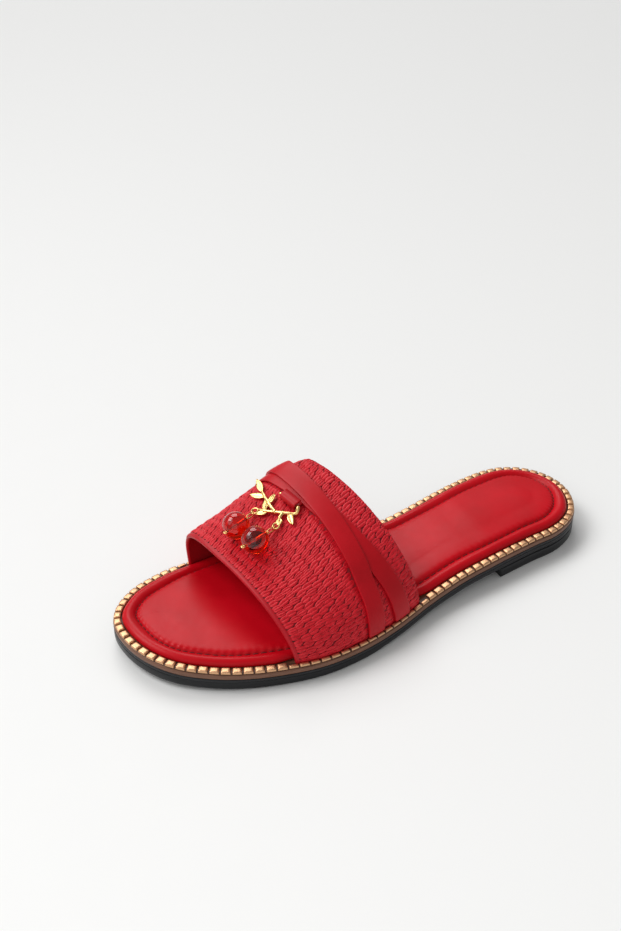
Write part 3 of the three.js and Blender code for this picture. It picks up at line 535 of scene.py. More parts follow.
# Leathers by name: dark tone, light tone, roughness, grain, scale of the grain, gloss.
LEATHERS = {
    "insole_leather": ((0.47, 0.001, 0.006), (0.58, 0.002, 0.010), 0.34, 0.6, 2.2, 0.16),
    "strap_leather": ((0.43, 0.001, 0.006), (0.54, 0.003, 0.011), 0.4, 0.9, 1.6, 0.24),
    "lining_leather": ((0.30, 0.001, 0.005), (0.38, 0.002, 0.008), 0.55, 0.8, 2.2, 0.25),
    "binding_leather": ((0.42, 0.002, 0.009), (0.52, 0.005, 0.015), 0.45, 0.8, 2.2, 0.3),
    # The ground under the weave is dark red as painted shade in the gaps between the pads.
    "under_weave_shade": ((0.22, 0.001, 0.005), (0.30, 0.002, 0.008), 0.75, 1.0, 2.2, 0.5),
    "thread": ((0.42, 0.012, 0.02), (0.52, 0.02, 0.03), 0.6, 1.0, 6.0, 0.5),
    # The insole's thread is near black: its red darkened as painted shade of the notches the stitches draw
    # into the pad's edge.
    "thread_with_painted_shade": ((0.10, 0.001, 0.003), (0.17, 0.003, 0.006), 0.7, 1.0, 6.0, 0.5),
    # Stitch holes are near-black discs: painted shade of the holes' depth.
    "stitch_hole_shade": ((0.03, 0.001, 0.001), (0.06, 0.001, 0.002), 0.9, 0.5, 2.2, 0.5),
    # The strip under the rand's blocks is dark brown as painted shade in the gaps between the blocks.
    "rand_base_shade": ((0.05, 0.018, 0.008), (0.09, 0.035, 0.015), 0.55, 0.8, 2.2, 0.5),
}
leathers = {name: leather(name, *values) for name, values in LEATHERS.items()}
weave_red = weave_material()
rand_gold = gold_material("rand_gold", (0.70, 0.405, 0.225), 0.40, dents=0.2)
bright_gold = gold_material("ornament_gold", (0.84, 0.56, 0.22), 0.22, dents=0.35)
edge_brown = edge_material("edge_brown", (0.15, 0.062, 0.032), (0.23, 0.10, 0.055), 0.42)
sole_black = edge_material("sole_black", (0.006, 0.0065, 0.0075), (0.012, 0.013, 0.015), 0.3, 1500, 0.3)
strip_black = edge_material("strip_black", (0.010, 0.011, 0.013), (0.018, 0.019, 0.022), 0.36, 1500, 0.3)
bead_glass = glass_material()


# Sole

# Sides of the sole's layers from below: the level they are measured from, distance in, height above it.
TREAD_SIDE = [
    (underside, TREAD_ROUND * (1 - math.sin(angle)), TREAD_ROUND * (1 - math.cos(angle)))
    for angle in np.linspace(0, math.pi / 2, 5)
]
TREAD_SIDE += [
    (strip_bottom, 0.0, -0.35), (strip_bottom, 0.05, -0.12), (strip_bottom, 0.4, 0.05),
    (strip_bottom, 0.42, 0.25),
]
STRIP_SIDE = [
    (strip_bottom, 0.5, 0.05), (strip_bottom, 0.16, 0.1), (strip_bottom, 0.05, 0.3),
    (outsole_top, 0.05, -0.25), (outsole_top, 0.2, 0), (outsole_top, 1.5, 0.05),
]
MIDSOLE_SIDE = [
    (midsole_bottom, 0.5, -0.2), (midsole_bottom, 0.25, -0.1), (midsole_bottom, 0.12, 0.25),
    (midsole_bottom, 0.02, 0.9), (midsole_top, 0.02, -0.8), (midsole_top, 0.15, -0.3),
    (midsole_top, 0.5, -0.05), (midsole_top, 1.0, 0),
]
HEEL_SIDE = [
    (ground, 0.8, 0), (ground, 0.25, 0.2), (ground, 0.05, 0.55), (ground, 0.0, 1.0),
    (underside, 0.0, -0.15), (underside, 0.1, 0.05),
]
HEEL_STEPS = 120
BREAST_SHARE = 0.6  # rounding of the breast's edge, as a share of the sides' rounding


def make_layer(name, side, material, slot):
    return build(name, *stack([ring(*row) for row in side]), material, slot)


def make_outsole():
    tread = make_layer("outsole_tread", TREAD_SIDE, sole_black, "sole")
    make_layer("outsole_strip", STRIP_SIDE, strip_black, "sole")
    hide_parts("outsole")


def make_midsole():
    piece = make_layer("midsole_edge", MIDSOLE_SIDE, edge_brown, "edge")
    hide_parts("midsole")


def heel_ring(level, inward, rise):
    """A ring round the heel block, with a straight breast and the sole's outline behind it."""
    breast = SOLE_LENGTH - HEEL_LENGTH + inward * BREAST_SHARE
    share = np.arange(HEEL_STEPS) / HEEL_STEPS
    ys = breast + (SOLE_LENGTH - inward - breast) * np.sin(share * math.pi / 2)
    outer = np.column_stack([edge_at(True, ys, inward), ys])
    inner = np.column_stack([edge_at(False, ys, inward), ys])[::-1]
    flat = np.vstack([outer, inset_at(OUTER_LENGTH, inward), inner])
    return np.column_stack([flat, level(flat[:, 1]) + rise])


def make_heel():
    piece = build("heel_block", *stack([heel_ring(*row) for row in HEEL_SIDE], seam=1), sole_black, "sole")
    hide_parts("heel")


# Rand

FOOT_INSET = RAND_INSET + RAND_FOOT_WIDTH + 1.4 * GAP
INSOLE_EDGE = FOOT_INSET + BAND_WALL + GAP
FOOT_MARGIN = 1.5  # the rand is already narrow this far from the band's feet
BLOCK_FOOT = 0.25
BLOCK_RISE = 1.15
NARROW_BLOCK_RISE = 0.85
BLOCK_CROWN = 0.08
BLOCK_OUT = 0.15
BLOCK_STEPS = np.array([-1, -0.99, -0.95, -0.86, -0.5, 0, 0.5, 0.86, 0.95, 0.99, 1])
# The strip under the blocks, whose dark brown is painted shade in the gaps between them: distance in from its
# outer or inner edge, and height.
BASE_OUTER = [(0.1, -0.3), (-0.05, 0.3), (0.15, 0.5)]
BASE_INNER = [(-0.15, 0.5), (0.0, 0.3), (0.0, -0.3)]
BASE_COUNT = 1200


def beside_foot(x, y, margin):
    front, rear = FEET["outer" if x > 0 else "inner"]
    return front * SOLE_LENGTH - margin < y < rear * SOLE_LENGTH + margin


def stray(size):
    return rng.uniform(-size, size)


def make_rand_blocks():
    """Square blocks with soft edges, no two quite alike."""
    blocks = Parts()
    faces = grid_faces(len(BLOCK_STEPS), len(BLOCK_STEPS))
    u, w = np.meshgrid(BLOCK_STEPS, BLOCK_STEPS, indexing="ij")
    soft_edge = np.clip(1 - np.abs(u) ** 18, 0, 1) ** 0.4 * np.clip(1 - np.abs(w) ** 14, 0, 1) ** 0.4
    crown = BLOCK_CROWN * (1 - u**2) * (1 - w**2)
    spots = []
    for start, length in ((0, OUTER_LENGTH), (OUTER_LENGTH, WHOLE_LENGTH - OUTER_LENGTH)):
        count = round(length / RAND_PITCH)
        spots += [start + (k + 0.5) * length / count for k in range(count)]
    for s in spots:
        narrow = beside_foot(*inset_at(s, 0), FOOT_MARGIN + RAND_PITCH / 2)
        width = RAND_FOOT_WIDTH if narrow else RAND_WIDTH
        rise = NARROW_BLOCK_RISE if narrow else BLOCK_RISE
        half = (RAND_PITCH - RAND_GAP) / 2 + stray(0.06)
        lift = stray(0.05)
        tilt = stray(0.05)
        inset = RAND_INSET - BLOCK_OUT + stray(0.06)
        line_y = inset_at(s + u * half, 0)[1]
        x, y = inset_at(s + u * half, inset + (1 + w) / 2 * width)
        z = top_gap(line_y) + BLOCK_FOOT + soft_edge * (rise + lift + tilt * w + crown)
        blocks.add(np.stack([x, y, z], axis=-1).reshape(-1, 3), faces)
    piece = blocks.build("rand_blocks", rand_gold, "gold")
    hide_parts("rand")


def make_rand_base():
    s = even_lengths(BASE_COUNT)
    line_x, line_y = inset_at(s, 0)
    narrow = [beside_foot(x, y, FOOT_MARGIN) for x, y in zip(line_x, line_y)]
    width = np.where(narrow, RAND_FOOT_WIDTH, RAND_WIDTH)
    section = [(inward, height, 0) for inward, height in BASE_OUTER]
    section += [(inward, height, width) for inward, height in BASE_INNER]
    rows = []
    for inward, height, across in section:
        x, y = inset_at(s, RAND_INSET + inward + across)
        rows.append(np.column_stack([x, y, top_gap(line_y) + height]))
    faces = grid_faces(len(rows), BASE_COUNT, wrap=True)
    # Its dark brown colour is painted shade between the blocks.
    build("rand_base_shade", np.concatenate(rows), faces, leathers["rand_base_shade"], "gold")


# Insole

# Distance in from its edge, and height as a share of the thickness.
INSOLE_RINGS = [
    (1.2, -0.05), (0.3, 0.0), (-0.35, 0.12), (-0.62, 0.3), (-0.5, 0.5), (-0.1, 0.7), (0.5, 0.85),
    (1.1, 0.95), (1.8, 1.02), (2.6, 1.04), (3.4, 1.0), (4.1, 0.92), (4.7, 0.82), (5.15, 0.7), (5.45, 0.6),
    (5.7, 0.54), (5.9, 0.55), (6.1, 0.65), (6.35, 0.78), (6.7, 0.88), (7.2, 0.95), (7.9, 1.0),
    (9.0, 1.04), (10.5, 1.07), (12.5, 1.1), (14.7, 1.12), (17, 1.13),
]
# Puckers that the stitches draw: distance in from the edge, width, depth.
PUCKERS = [(6.5, 0.6, 0.3), (7.6, 0.9, 0.07), (4.9, 0.5, 0.05)]
INSOLE_COUNT = 1920
SPOKE_STEPS = 10
PAD_ENDS = (120, 150)  # corners from the toe tip and from the heel tip where the middle line ends
PAD_CROWN = 0.35
PAD_WAVE = 0.07
SEAM_SHARE = 0.9  # the seam's length as a share of the sole's outline
STITCHES = round(WHOLE_LENGTH * SEAM_SHARE / STITCH_PITCH)
INSOLE_THREAD = 0.22


def along_foot(y, side, outside, inside):
    """1 beside a foot of the band and 0 away from it, with a ramp at either end."""
    front, rear = (share * SOLE_LENGTH for share in FEET[side])
    start = smoothstep(y, front - outside, front + inside)
    return start * (1 - smoothstep(y, rear - inside, rear + outside))


def stitch_phase(s):
    return 2 * np.pi * STITCHES * s / WHOLE_LENGTH


def seam_wander(s):
    """How far the seam strays sideways, as sewing does."""
    phase = stitch_phase(s)
    return 0.25 * np.sin(phase / 23.0 + 1.3) + 0.18 * np.sin(phase / 9.7)


def insole_rings():
    """Rings from the underside over the rolled rim and down and up the sewn channel."""
    s = even_lengths(INSOLE_COUNT)
    x, y = inset_at(s, 0)
    pucker = 0.5 + 0.5 * np.cos(stitch_phase(s))
    squeeze = np.where(x > 0, INSOLE_SQUEEZE * along_foot(y, "outer", SQUEEZE_RUN, 0), 0)
    held = np.where(x > 0, along_foot(y, "outer", 3, 2), along_foot(y, "inner", 3, 2))
    wander = seam_wander(s)
    rings = []
    for inward, height in INSOLE_RINGS:
        eased = squeeze * smoothstep(CHANNEL - inward, 0, CHANNEL)
        proud = held * max(0.0, -inward)
        away = INSOLE_EDGE + inward + eased + proud + wander * smoothstep(inward, 2, 6)
        px, py = inset_at(s, away)
        drawn = sum(depth * math.exp(-(((inward - place) / width) ** 2)) for place, width, depth in PUCKERS)
        z = top_gap(py) + height * INSOLE_THICKNESS - drawn * pucker
        z += PAD_WAVE * np.sin(px * 0.21 + py * 0.13) * smoothstep(inward, 8, 13)
        rings.append(np.column_stack([px, py, z]))
    return rings


def make_insole():
    """The rings, and inside the last of them spokes that run to a crowned middle line."""
    rings = insole_rings()
    top = rings[-1]
    faces = grid_faces(len(rings), INSOLE_COUNT, wrap=True)
    points = list(np.concatenate(rings))
    last = len(points) - INSOLE_COUNT
    first_pair = PAD_ENDS[0]
    last_pair = INSOLE_COUNT // 2 - PAD_ENDS[1]
    middles = {}
    for k in range(first_pair, last_pair + 1):
        a, b = top[k], top[INSOLE_COUNT - k]
        centre = (a + b) / 2
        above = (a[2] - top_gap(a[1]) + b[2] - top_gap(b[1])) / 2 + PAD_CROWN
        centre[2] = top_gap(centre[1]) + above
        middles[k] = len(points)
        points.append(centre)
    spokes = []
    for k in range(INSOLE_COUNT):
        middle = middles[min(max(min(k, INSOLE_COUNT - k), first_pair), last_pair)]
        a, b = top[k], points[middle]
        low = a[2] - top_gap(a[1])
        high = b[2] - top_gap(b[1])
        spoke = [last + k]
        for n in range(1, SPOKE_STEPS):
            share = n / SPOKE_STEPS
            p = a + (b - a) * share
            p[2] = top_gap(p[1]) + low + (high - low) * (1 - (1 - share) ** 2)
            spoke.append(len(points))
            points.append(p)
        spokes.append(spoke + [middle])
    for k in range(INSOLE_COUNT):
        here, there = spokes[k], spokes[(k + 1) % INSOLE_COUNT]
        for n in range(SPOKE_STEPS):
            face = [here[n], there[n], there[n + 1], here[n + 1]]
            faces.append(face[:3] if face[2] == face[3] else face)
    piece = build("insole_pad", np.array(points), faces, leathers["insole_leather"], "red_leather")
    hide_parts("insole")


def make_insole_stitches():
    threads = Parts()
    pitch = WHOLE_LENGTH / STITCHES
    t = np.linspace(-0.3, 0.3, 7) * pitch
    arch = INSOLE_THREAD * (1 - (t / t[-1]) ** 2)
    for n in range(STITCHES):
        s = (n + 0.5) * pitch + t
        x, y = inset_at(s, INSOLE_EDGE + CHANNEL + seam_wander(s))
        z = top_gap(y) + 0.55 * INSOLE_THICKNESS + arch + 0.02
        threads.add(*tube(np.column_stack([x, y, z]), INSOLE_THREAD, THREAD_SIDES))
    # The thread's near-black colour is painted shade of the stitch notches.
    threads.build("insole_stitches", leathers["thread_with_painted_shade"], "red_leather")


# Band surface

A_STEPS = 141
R_STEPS = 721
ARC_STEPS = 500
SMOOTHING = 2


def band_line(along, rounds):
    """One line over the foot, from the outer foot of the band to the inner one."""
    rise, crown, outer_power, inner_power, bulge = (follow(SECTIONS, c, along) for c in range(1, 6))
    ends = []
    for side in ("outer", "inner"):
        front, rear = FEET[side]
        y = SOLE_LENGTH * (front + (rear - front) * along)
        ends.append(np.array([edge_at(side == "outer", y, FOOT_INSET), y, top_gap(y)]))
    outer_foot, inner_foot = ends
    across = np.linalg.norm(outer_foot - inner_foot)
    height = BAND_FRONT_HEIGHT + (BAND_INSTEP_HEIGHT - BAND_FRONT_HEIGHT) * rise
    k = np.arange(2 * ARC_STEPS + 1)
    outer = k <= ARC_STEPS
    angle = np.where(outer, k, 2 * ARC_STEPS - k) / ARC_STEPS * (math.pi / 2)
    power = np.where(outer, 2 / outer_power, 2 / inner_power)
    level = np.sin(angle) ** power
    reach = np.abs(np.cos(angle)) ** power
    out = np.where(outer, 0, BAND_BULGE * bulge * np.sin(math.pi * level**1.5) / across)
    share = np.where(outer, crown * (1 - reach), crown + (1 - crown) * reach + out)
    within = np.clip(share, 0, 1)
    bow = BAND_BOW * (1 - along) * np.sqrt(4 * within * (1 - within))
    points = outer_foot + (inner_foot - outer_foot) * share[:, None]
    points = points + np.column_stack([0 * bow, -bow, level * height])
    lengths = np.concatenate([[0], np.cumsum(np.linalg.norm(np.diff(points, axis=0), axis=1))])
    target = rounds * lengths[-1]
    return np.stack([np.interp(target, lengths, points[:, c]) for c in range(3)], axis=1)


def band_grid():
    """The band's outer surface on a grid, the ways round and along it, and the way out."""
    rounds = np.linspace(0, 1, R_STEPS)
    surface = np.array([band_line(along, rounds) for along in np.linspace(0, 1, A_STEPS)])
    for _ in range(SMOOTHING):
        before = surface
        surface = before.copy()
        surface[:, 2:-2] = 0.2 * (
            before[:, :-4] + before[:, 1:-3] + before[:, 2:-2] + before[:, 3:-1] + before[:, 4:]
        )
    roundway = np.gradient(surface, axis=1) * (R_STEPS - 1)
    alongway = np.gradient(surface, axis=0) * (A_STEPS - 1)
    return surface, roundway, alongway, unit(np.cross(alongway, roundway))


SURFACE, ROUNDWAY, ALONGWAY, OUTWARD = band_grid()
BAND_LENGTH = np.linalg.norm(SURFACE[0, R_STEPS // 2] - SURFACE[-1, R_STEPS // 2])
FRONT_ROUND = np.linalg.norm(np.diff(SURFACE[0], axis=0), axis=1).sum()


def sample(field, u, v):
    """A grid's value at round u and along v."""
    x = np.clip(np.asarray(u, float), 0, 1) * (R_STEPS - 1)
    y = np.clip(np.asarray(v, float), 0, 1) * (A_STEPS - 1)
    i = np.minimum(x.astype(int), R_STEPS - 2)
    j = np.minimum(y.astype(int), A_STEPS - 2)
    fx = (x - i)[..., None]
    fy = (y - j)[..., None]
    return (
        field[j, i] * (1 - fx) * (1 - fy) + field[j, i + 1] * fx * (1 - fy)
        + field[j + 1, i] * (1 - fx) * fy + field[j + 1, i + 1] * fx * fy
    )


def on_band(u, v, height):
    """Places over the band; v may run a little past the edges."""
    v = np.asarray(v, float)
    past = v - np.clip(v, 0, 1)
    point = sample(SURFACE, u, v) + past[..., None] * sample(ALONGWAY, u, v)
    return point + np.asarray(height, float)[..., None] * sample(OUTWARD, u, v)


def lay_on_band(u, v, height):
    """The basis that lays a piece on the band: x to the outer side, y to the heel, z out."""
    out = sample(OUTWARD, u, v)
    outward = -unit(sample(ROUNDWAY, u, v))
    outward = unit(outward - out * outward.dot(out))
    return np.array([outward, np.cross(out, outward), out, on_band(u, v, height)])


def apply(basis, points):
    """Points laid out by the three ways and the place of a basis."""
    return np.asarray(points, float) @ basis[:3] + basis[3]


def strap_distance(u, v):
    """Millimetres from the nearest strap's edge, below zero under it."""
    away = [np.abs(v - follow(strap, 1, u)) * BAND_LENGTH for strap in (UPPER_STRAP, LOWER_STRAP)]
    return np.minimum(*away) - STRAP_WIDTH / 2


# Band

# The wall's section: millimetres behind the front or the rear edge, and height on the surface.
FRONT_FOLD = [
    (0.0, -BAND_WALL), (-0.55, -1.75), (-0.85, -1.3), (-0.95, -0.8), (-0.8, -0.25), (-0.4, 0.12), (0.1, 0.28),
    (0.45, 0.34), (0.9, 0.34), (1.2, 0.28), (1.5, 0.12), (1.75, 0.16), (2.0, 0.1), (2.3, -0.02),
]
REAR_FOLD = [(-0.5, 0.0), (0.1, 0.0), (0.5, -0.4), (0.6, -1.0), (0.4, -1.6), (0.0, -BAND_WALL)]
UNDER_ROWS = 40
UNDER_HEIGHT = 0.05
BAND_COUNT = 321


def make_band():
    """The wall, with a binding at its front edge and a ground under the weave whose dark red is painted shade
    between the pads.
    """
    u = np.linspace(0, 1, BAND_COUNT)
    section = [(x / BAND_LENGTH, height) for x, height in FRONT_FOLD]
    under = np.linspace(2.6 / BAND_LENGTH, 1 - 1.0 / BAND_LENGTH, UNDER_ROWS)
    section += [(v, UNDER_HEIGHT) for v in under]
    section += [(1 + x / BAND_LENGTH, height) for x, height in REAR_FOLD]
    section += [(v, -BAND_WALL) for v in np.linspace(0.97, 0.03, UNDER_ROWS)]
    rows = [on_band(u, v, height) for v, height in section]
    rows.append(rows[0])
    faces = grid_faces(len(rows), BAND_COUNT)
    piece = build("band_wall", np.concatenate(rows), faces, leathers["lining_leather"], "red_leather")
    mesh = piece.data
    mesh.materials.append(leathers["binding_leather"])
    # The ground under the weave takes the dark leather that paints shade between the pads.
    mesh.materials.append(leathers["under_weave_shade"])
    row = np.arange(len(mesh.polygons)) // (BAND_COUNT - 1)
    under_start = len(FRONT_FOLD)
    index = np.where(row < under_start, 1, np.where(row < under_start + UNDER_ROWS, 2, 0))
    mesh.polygons.foreach_set("material_index", index.tolist())
    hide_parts("band")


# Weave

FIBRES = [2, 2, 3]  # numbers of fibres in a pad, drawn at random
PAD_LENGTH = (0.70, 0.77)  # half of a pad, as a share of the rows' pitch
PAD_HEIGHT = (0.75, 1.12)
PAD_WIDTH = (0.13, 0.38)  # half of a pad's end, and what its middle adds, as shares of its place
PAD_SLANT = 0.16
PAD_RISE = 0.86
PAD_SINK = 0.05
FIBRE_GROOVE = 0.34
FIBRE_FILL = 0.97
WEAVE_START = BINDING / BAND_LENGTH
WEAVE_STOP = 1 + 0.3 / BAND_LENGTH
WEAVE_EDGE = 0.004
UNDER_STRAP = 3.0  # pads this far in under a strap are left out
PAD_STEPS, PAD_SIDE = np.meshgrid(np.linspace(-1, 1, 11), np.linspace(-1, 1, 5), indexing="ij")
PAD_FACES = grid_faces(*PAD_STEPS.shape)


def fibre_points(u0, v0, side, fibres, length, height, slant):
    """One fibre of a pad; it narrows to its ends, and lies flat under straps and at the band's edges."""
    round_length = np.linalg.norm(sample(ROUNDWAY, u0, v0))
    fill = np.clip(1 - np.abs(PAD_STEPS) ** 2.2, 0, 1)
    lag = side * 0.3 + rng.normal(0, 0.08)
    along = PAD_STEPS * length * (1 - 0.06 * abs(side)) + lag
    width = round_length / PADS_ROUND * (PAD_WIDTH[0] + PAD_WIDTH[1] * fill)
    across = (side + PAD_SIDE / fibres * FIBRE_FILL) * width + slant * along
    dome = 1 - 0.25 * side**2
    rise = PAD_RISE * height * fill**0.5 * dome - PAD_SINK
    rise = rise - FIBRE_GROOVE / fibres**0.5 * np.abs(PAD_SIDE) ** 3
    u = np.clip(u0 + across / round_length, WEAVE_EDGE, 1 - WEAVE_EDGE)
    v = np.clip(v0 + along / BAND_LENGTH, WEAVE_START - 0.3 / BAND_LENGTH, WEAVE_STOP)
    pressed = smoothstep(strap_distance(u, v), -0.3, 2.6)
    foot = smoothstep(np.minimum(u, 1 - u) * round_length, 0.2, 2.5)
    edge = smoothstep((v - WEAVE_START) * BAND_LENGTH, -0.4, 1.0)
    turned = smoothstep((1 - v) * BAND_LENGTH, -0.3, 1.6)
    eased = rise * (0.22 + 0.78 * pressed) * (0.45 + 0.55 * foot) * (0.4 + 0.6 * edge)
    rise = np.where(rise > 0, eased, rise) - (1 - turned) * 0.6
    return on_band(u, v, rise).reshape(-1, 3)


def make_weave():
    """Rows of oblong pads, long the way the foot goes, each row moved sideways from the one before."""
    rows = int(math.ceil((WEAVE_STOP - WEAVE_START) * BAND_LENGTH / ROW_PITCH)) + 1
    pads = Parts()
    for row in range(rows):
        moved = -ROW_SHIFT * row % 1
        for place in range(-1, PADS_ROUND + 1):
            u0 = (place + 0.5 + moved) / PADS_ROUND + rng.normal(0, 0.0008)
            v0 = WEAVE_START + ((row + 0.38) * ROW_PITCH + rng.normal(0, 0.18)) / BAND_LENGTH
            if not 0 < u0 < 1 or strap_distance(u0, v0) < UNDER_STRAP - STRAP_WIDTH / 2:
                continue
            fibres = int(rng.choice(FIBRES))
            slant = PAD_SLANT + rng.normal(0, 0.06)
            height = rng.uniform(*PAD_HEIGHT)
            length = ROW_PITCH * rng.uniform(*PAD_LENGTH)
            for fibre in range(fibres):
                side = (fibre + 0.5) / fibres * 2 - 1
                pads.add(fibre_points(u0, v0, side, fibres, length, height, slant), PAD_FACES)
    pads.build("band_weave", weave_red, "red_weave")


STITCH_LINE = 1.6  # behind the front edge
HOLE_ROUND = 0.34
HOLE_ALONG = 0.6
HOLE_SIDES = 8


def make_band_stitches():
    """A row of stitch holes behind the folded front edge, drawn as near-black discs of painted shade, with
    the thread just below the surface.
    """
    threads = Parts()
    holes = Parts()
    v = STITCH_LINE / BAND_LENGTH
    share = np.linspace(-1, 1, 7)
    arch = 0.06 + 0.12 * (1 - share**2)
    turn = 2 * np.pi * np.arange(HOLE_SIDES) / HOLE_SIDES
    hole_v = v + HOLE_ALONG * np.sin(turn) / BAND_LENGTH
    hole_faces = [[k, (k + 1) % HOLE_SIDES, HOLE_SIDES] for k in range(HOLE_SIDES)]
    for n in range(1, PADS_ROUND):
        u = (n + 0.5 + 0.3 * share) / PADS_ROUND
        threads.add(*tube(on_band(u, v, arch), 0.17, THREAD_SIDES))
        hole_u = n / PADS_ROUND + HOLE_ROUND * np.cos(turn) / FRONT_ROUND
        rim = on_band(hole_u, hole_v, 0.33)
        holes.add(np.vstack([rim, on_band(n / PADS_ROUND, v, 0.24)]), hole_faces)
    # The hole discs are near black as painted shade.
    holes.build("band_stitch_hole_shades", leathers["stitch_hole_shade"], "red_leather")
    threads.build("band_stitches", leathers["thread"], "red_leather")


# Straps

STRAP_STEPS = 281
STRAP_END = 0.012  # share of the way round where a strap starts and ends
OVER_LIFT = STRAP_THICKNESS + 0.02
# The section's right half from its foot: share of half the width, height.
STRAP_SIDE = [
    (0.97, 0.0), (1.0, 0.12), (1.0, 0.8 * STRAP_THICKNESS), (0.985, 0.94 * STRAP_THICKNESS),
    (0.95, STRAP_THICKNESS),
]
STRAP_TOP = [(x, STRAP_THICKNESS + 0.10 * (1 - x * x)) for x in (-0.8, -0.5, 0, 0.5, 0.8)]
STRAP_SECTION = [(-x, height) for x, height in STRAP_SIDE] + STRAP_TOP + STRAP_SIDE[::-1]


def make_strap(name, centre_line):
    share = np.linspace(0, 1, STRAP_STEPS)
    u = STRAP_END + (1 - 2 * STRAP_END) * share
    v = follow(centre_line, 1, u)
    centre = on_band(u, v, 0)
    tangent = unit(np.gradient(centre, axis=0))
    sideways = unit(np.cross(tangent, sample(OUTWARD, u, v)))
    half = STRAP_WIDTH / 2
    across = []
    for way in (sample(ROUNDWAY, u, v), sample(ALONGWAY, u, v)):
        across.append((sideways * way).sum(1) / np.linalg.norm(way, axis=1) ** 2 * half)
    du, dv = across
    low = STRAP_BASE + follow(centre_line, 2, u) * OVER_LIFT
    ends = smoothstep(np.minimum(share, 1 - share), 0, 0.05)
    rows = [on_band(u + du * x * ends, v + dv * x, low + height) for x, height in STRAP_SECTION]
    points = np.stack(rows, axis=1).reshape(-1, 3)
    corners = len(STRAP_SECTION)
    faces = grid_faces(STRAP_STEPS, corners, wrap=True)
    faces.append(list(range(corners))[::-1])
    faces.append([(STRAP_STEPS - 1) * corners + k for k in range(corners)])
    return build(name, points, faces, leathers["strap_leather"], "red_leather")


# Tab

TAB_ROUND = TAB_THICKNESS + BAR_PLAY + BAR_RADIUS
BAR_HEIGHT = WEAVE_TOP + TAB_ROUND
TAB_BACK = 0.8  # how far the tab runs on behind the point it is measured from
TAB_EDGE = 0.14
TAB_SHARES = [-1, -0.985, -0.95, -0.85, -0.5, 0, 0.5, 0.85, 0.95, 0.985, 1]
TURN_STEPS = 20
tab_along_length = np.linalg.norm(sample(ALONGWAY, *TAB))
lower_there = follow(LOWER_STRAP, 1, TAB[0])
TAB_REAR = lower_there - (STRAP_WIDTH / 2 + 2 * GAP) / tab_along_length
TAB_LAY = lay_on_band(TAB[0], TAB_REAR, BAR_HEIGHT)


def make_tab():
    """A strip folded round the bar, as sections from side to side with softened edges."""
    middle = TAB_ROUND - TAB_REACH
    inner = TAB_ROUND - TAB_THICKNESS
    turn = np.linspace(0, math.pi, TURN_STEPS + 1)[1:]
    outside = [(TAB_BACK, -TAB_ROUND), (middle, -TAB_ROUND)]
    outside += [(middle - TAB_ROUND * math.sin(a), -TAB_ROUND * math.cos(a)) for a in turn]
    outside += [(TAB_BACK, TAB_ROUND - 0.5)]
    inside = [(TAB_BACK, inner - 0.4), (middle, inner)]
    inside += [(middle - inner * math.sin(a), inner * math.cos(a)) for a in turn]
    inside += [(TAB_BACK, -inner)]
    side = np.array(outside + inside)
    direction = side - np.array([middle, 0])
    direction /= np.maximum(np.linalg.norm(direction, axis=1), 1e-6)[:, None]
    direction[len(outside):] *= -1
    rows = []
    for share in TAB_SHARES:
        shrink = TAB_EDGE * max(0.0, (abs(share) - 0.93) / 0.07) ** 2
        rows.append(np.column_stack([np.full(len(side), share * TAB_WIDTH / 2), side - direction * shrink]))
    points, faces = stack(rows, seam=1)
    piece = build("tab_fold", apply(TAB_LAY, points), faces, leathers["strap_leather"], "red_leather")
    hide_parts("tab")


# Ornament

LEAF_ROWS = 15
LEAF_COLUMNS = 9
LEAF_LEAN = (-0.16, 0.08)
STEM_SIDES = 16
STEM_HEIGHT = WEAVE_TOP + STEM_RADIUS
EYELET_HEIGHT = WEAVE_TOP + max(EYELET_WIRE, PIN_WIRE) + LINK_PLAY + 2 * LINK_WIRE
# In the scene these wires are a little thinner than the solids, so that nothing touches in any pose.
EYELET_SLIM = 0.92
LINK_SLIM = 0.88
PIN_EYE_SLIM = 0.9
BEAD_SLIM = 0.07


def leaf(size):
    """A pointed leaf along +x with a crease down its middle."""
    shares = np.linspace(0, 1, LEAF_ROWS)
    share, w = np.meshgrid(shares, np.linspace(-1, 1, LEAF_COLUMNS), indexing="ij")
    belly = np.clip(np.sin(math.pi * share), 0, 1)
    dome = np.sqrt(belly) * (1 - np.abs(w) ** 2.2) ** 0.5
    half = LEAF_WIDTH / 2 * np.sin(math.pi * share**0.85) ** 0.8 * (1.05 - 0.1 * share)
    curl = 0.5 * share**2 * size
    crease = 0.16 * np.exp(-((w / 0.13) ** 2)) * belly
    above = 0.42 * dome + 0.28 * np.abs(w) - crease + curl
    below = -0.5 * dome + 0.2 * np.abs(w) + curl
    length = LEAF_LENGTH * size * share
    sheets = [
        np.stack([length, w * half, above], axis=-1), np.stack([length, w * half * 0.98, below], axis=-1),
    ]
    top = share.size
    faces = grid_faces(LEAF_ROWS, LEAF_COLUMNS)
    faces += [f[::-1] for f in grid_faces(LEAF_ROWS, LEAF_COLUMNS, start=top)]
    for k in range(LEAF_ROWS - 1):
        for j in (0, LEAF_COLUMNS - 1):
            here = k * LEAF_COLUMNS + j
            there = here + LEAF_COLUMNS
            faces.append([here, there, top + there, top + here])
    return np.array(sheets).reshape(-1, 3), faces


